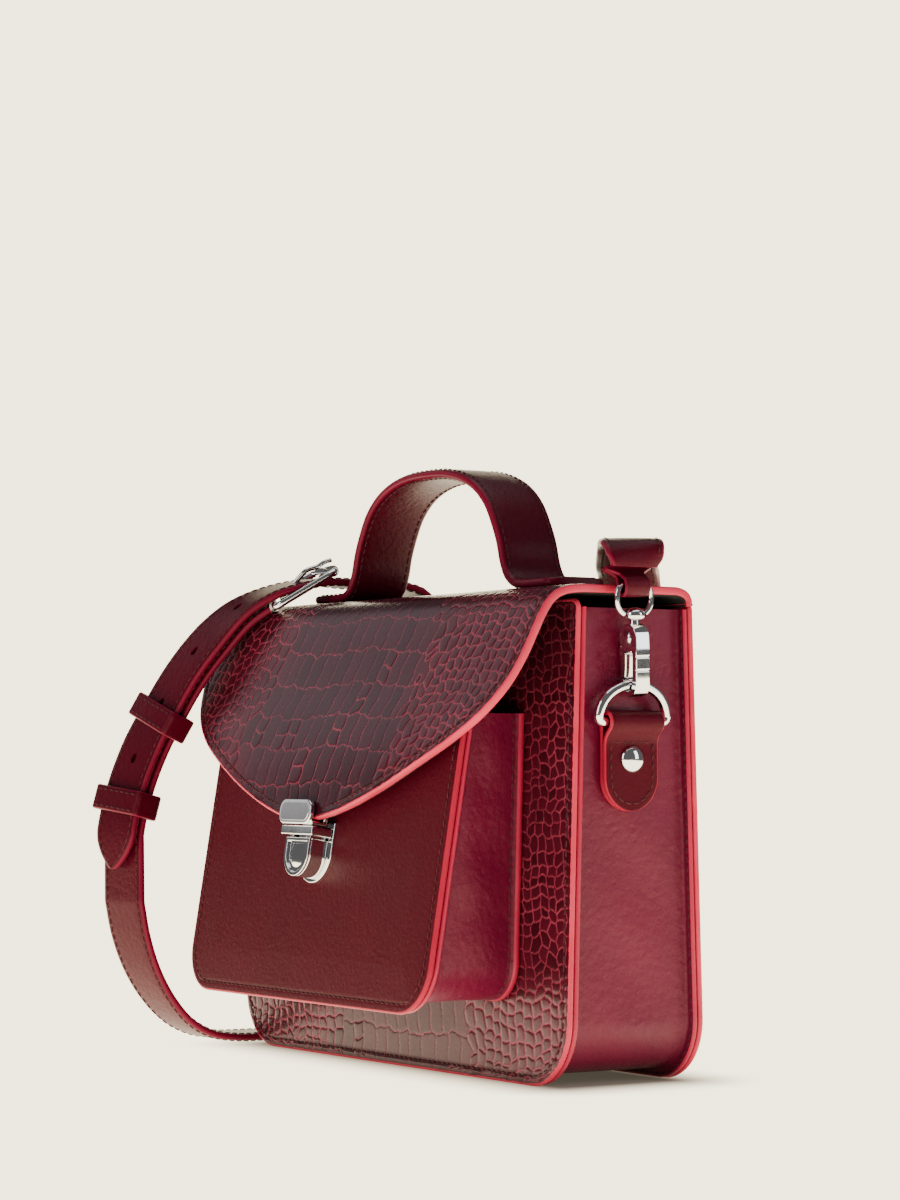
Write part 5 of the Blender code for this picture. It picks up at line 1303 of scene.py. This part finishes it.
def keeper(name, z):
    i = min(range(len(long_path) * 3 // 4, len(long_path)), key=lambda i: abs(long_path[i].z - z) + (0 if long_path[i].y < -30 else 99))
    t, w, q = frame_at(long_path, long_wides, i)
    if q.dot(Vector((0.3, 1.0, -0.6))) < 0:
        q = -q
    c = long_path[i] + q * (PITCH / 2)
    hw, hq, th, hh = STRAP_W / 2 + 0.8, (STRAP_T + PITCH) / 2 + 0.9, 1.5, 4.4
    P = [c + w * x + q * y for x, y in rounded(hw + th / 2, hq + th / 2, 1.2, steps=6)]
    n = len(P)
    verts, edge = [], []
    prof = []
    for k in range(7):
        prof.append((-hh + 0.7 + (2 * hh - 1.4) * k / 6, th / 2, 0))
    for a in (60, 20, -20, -60):
        prof.append((hh - 0.7 + 0.7 * math.cos(math.radians(a)), th / 2 * math.sin(math.radians(a)), 1))
    for k in range(4):
        prof.append((hh - 0.7 - (2 * hh - 1.4) * k / 3, -th / 2, 0))
    for a in (240, 200, 160, 120):
        prof.append((-hh + 0.7 + 0.7 * math.cos(math.radians(a)), th / 2 * math.sin(math.radians(a)), 1))
    m = len(prof)
    for k in range(n):
        tan = (P[(k + 1) % n] - P[k - 1]).normalized()
        o = tan.cross(t).normalized()
        if o.dot(P[k] - c) < 0:
            o = -o
        for a, b, e in prof:
            verts.append(P[k] + t * a + o * b)
            edge.append(e)
    faces = []
    for k in range(n):
        j = (k + 1) % n
        faces += [[k * m + a, k * m + (a + 1) % m, j * m + (a + 1) % m, j * m + a] for a in range(m)]
    ob = mesh(name + "_band", verts, faces, M_STRAP, "root", [name], smooth=50, attrs={"edge": edge}, ride=False)
    acc = Stitches()
    for sd_ in (-1, 1):
        for fq in (-1, 1):
            ln = [c + w * x + q * fq * (hq + th) + t * sd_ * (hh - 1.5) for x in np.linspace(-hw + 0.5, hw - 0.5, 10)]
            acc.line(ln, [q * fq] * len(ln), radius=0.26)
    return ob, acc.done(name + "_stitches", "root", ride=False)


ku, kus = keeper("keeper_upper", 115.0)
kl, kls = keeper("keeper_lower", 85.0)

st_strap, st_short = Stitches(), Stitches()
edge_stitches(st_strap, long_fr, 2.0, ends=4.0)
edge_stitches(st_short, short_fr, 2.0, ends=3.0)
so1 = st_strap.done("long_stitches", "root", ride=False)
so2 = st_short.done("short_stitches", "root", ride=False)
st_flap.done("flap_stitches", "flap")
st_root.done("body_stitches", "root")
for o in (long_ob, short_ob, so1, so2, ku, kus, kl, kls):
    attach(o, "root")

# ---------------------------------------------------------------- carried-over nodes
for nme in ("main_lining", "pocket_lining", "flap_lining"):
    NODES[nme].data.materials.clear()
    NODES[nme].data.materials.append(M_LINING)
NODES["lock_spring"].data.materials.clear()
NODES["lock_spring"].data.materials.append(M_METAL)

# ---------------------------------------------------------------- stage and light
BG = (0.90, 0.80, 0.56)
GLOW = 4.4
mf = bpy.data.materials.new("backdrop")
nt, b = nodes_of(mf)
nz = noise(nt, 3.0, 2.0, 0.5, coords(nt))
c = ramp(nt, 0.0, 1.0, tuple(v * 0.995 for v in BG), BG, nz.outputs["Fac"])
b.inputs["Base Color"].default_value = (0.55, 0.53, 0.49, 1)
nt.links.new(c.outputs["Color"], b.inputs["Emission Color"])
sep = nt.nodes.new("ShaderNodeSeparateXYZ")
nt.links.new(coords(nt), sep.inputs[0])


def math_node(op, a, b_=None):
    n_ = nt.nodes.new("ShaderNodeMath")
    n_.operation = op
    for k_, v_ in enumerate((a, b_)):
        if v_ is None:
            continue
        if isinstance(v_, (int, float)):
            n_.inputs[k_].default_value = v_
        else:
            nt.links.new(v_, n_.inputs[k_])
    return n_.outputs[0]


# painted shadow: the backdrop's glow is dimmed with the distance from the bag's foot, so that a dark contact shadow is
# painted on the floor under the bag
dx_ = math_node("MAXIMUM", math_node("SUBTRACT", math_node("ABSOLUTE", math_node("SUBTRACT", sep.outputs[0], OX * 0.001)), 0.088), 0.0)
dy_ = math_node("MAXIMUM", math_node("SUBTRACT", math_node("ABSOLUTE", math_node("SUBTRACT", sep.outputs[1], OY * 0.001)), 0.020), 0.0)
dd_ = math_node("SQRT", math_node("ADD", math_node("MULTIPLY", dx_, dx_), math_node("MULTIPLY", dy_, dy_)))
painted_floor_shadow = ramp(nt, 0.0, 1.0, 0.0, GLOW, math_node("MULTIPLY", dd_, 1 / 0.034))
painted_floor_shadow.color_ramp.interpolation = "EASE"
painted_floor_shadow.color_ramp.elements[0].color = (0.02, 0.02, 0.02, 1)
painted_floor_shadow.color_ramp.elements[1].color = (1, 1, 1, 1)
# the emission strength carries the painted shadow under the bag
nt.links.new(math_node("MULTIPLY", painted_floor_shadow.outputs["Color"], GLOW), b.inputs["Emission Strength"])
b.inputs["Roughness"].default_value = 0.9
b.inputs["Specular IOR Level"].default_value = 0.0
ang = math.radians(57.2)
ux, uy = Vector((math.cos(ang), math.sin(ang), 0)), Vector((-math.sin(ang), math.cos(ang), 0))
prof_bg = [(-1.1, 0.0), (2.2, 0.0)] + [(2.2 + 1.6 * math.sin(math.radians(a)), 1.6 - 1.6 * math.cos(math.radians(a))) for a in range(6, 91, 6)] + [(3.8, 2.0)]
bv = []
for dd, zz_ in prof_bg:
    for sx in (-1.15, 1.15):
        p = ux * sx + uy * dd
        bv.append((p.x, p.y, zz_))
me = bpy.data.meshes.new("backdrop")
me.from_pydata(bv, [], [[2 * i, 2 * i + 1, 2 * i + 3, 2 * i + 2] for i in range(len(prof_bg) - 1)])
me.shade_smooth()
me.materials.append(mf)
floor = bpy.data.objects.new("backdrop", me)
SC.collection.objects.link(floor)

world = bpy.data.worlds.new("world")
SC.world = world
world.use_nodes = True
bgn = world.node_tree.nodes["Background"]
bgn.inputs[0].default_value = (0.95, 0.94, 0.92, 1)
bgn.inputs[1].default_value = 0.13


def area(name, loc, target, size, size_y, power, colour=(1, 1, 1)):
    l = bpy.data.lights.new(name, "AREA")
    l.shape = "RECTANGLE"
    l.size, l.size_y, l.energy, l.color = size, size_y, power, colour
    o = bpy.data.objects.new(name, l)
    SC.collection.objects.link(o)
    o.location = loc
    o.rotation_euler = (Vector(target) - Vector(loc)).to_track_quat("-Z", "Y").to_euler()
    return o


area("key_left", (-1.55, -0.55, 0.85), (0, 0, 0.09), 0.75, 1.1, 2.0)
area("fill_front", (0.35, -1.9, 0.9), (0, 0, 0.09), 0.6, 1.4, 12)
area("top_soft", (0.0, 0.1, 1.7), (0, 0, 0.1), 1.6, 1.6, 12)
area("right_back", (1.15, 0.95, 0.55), (0.1, 0, 0.09), 0.45, 0.9, 4)
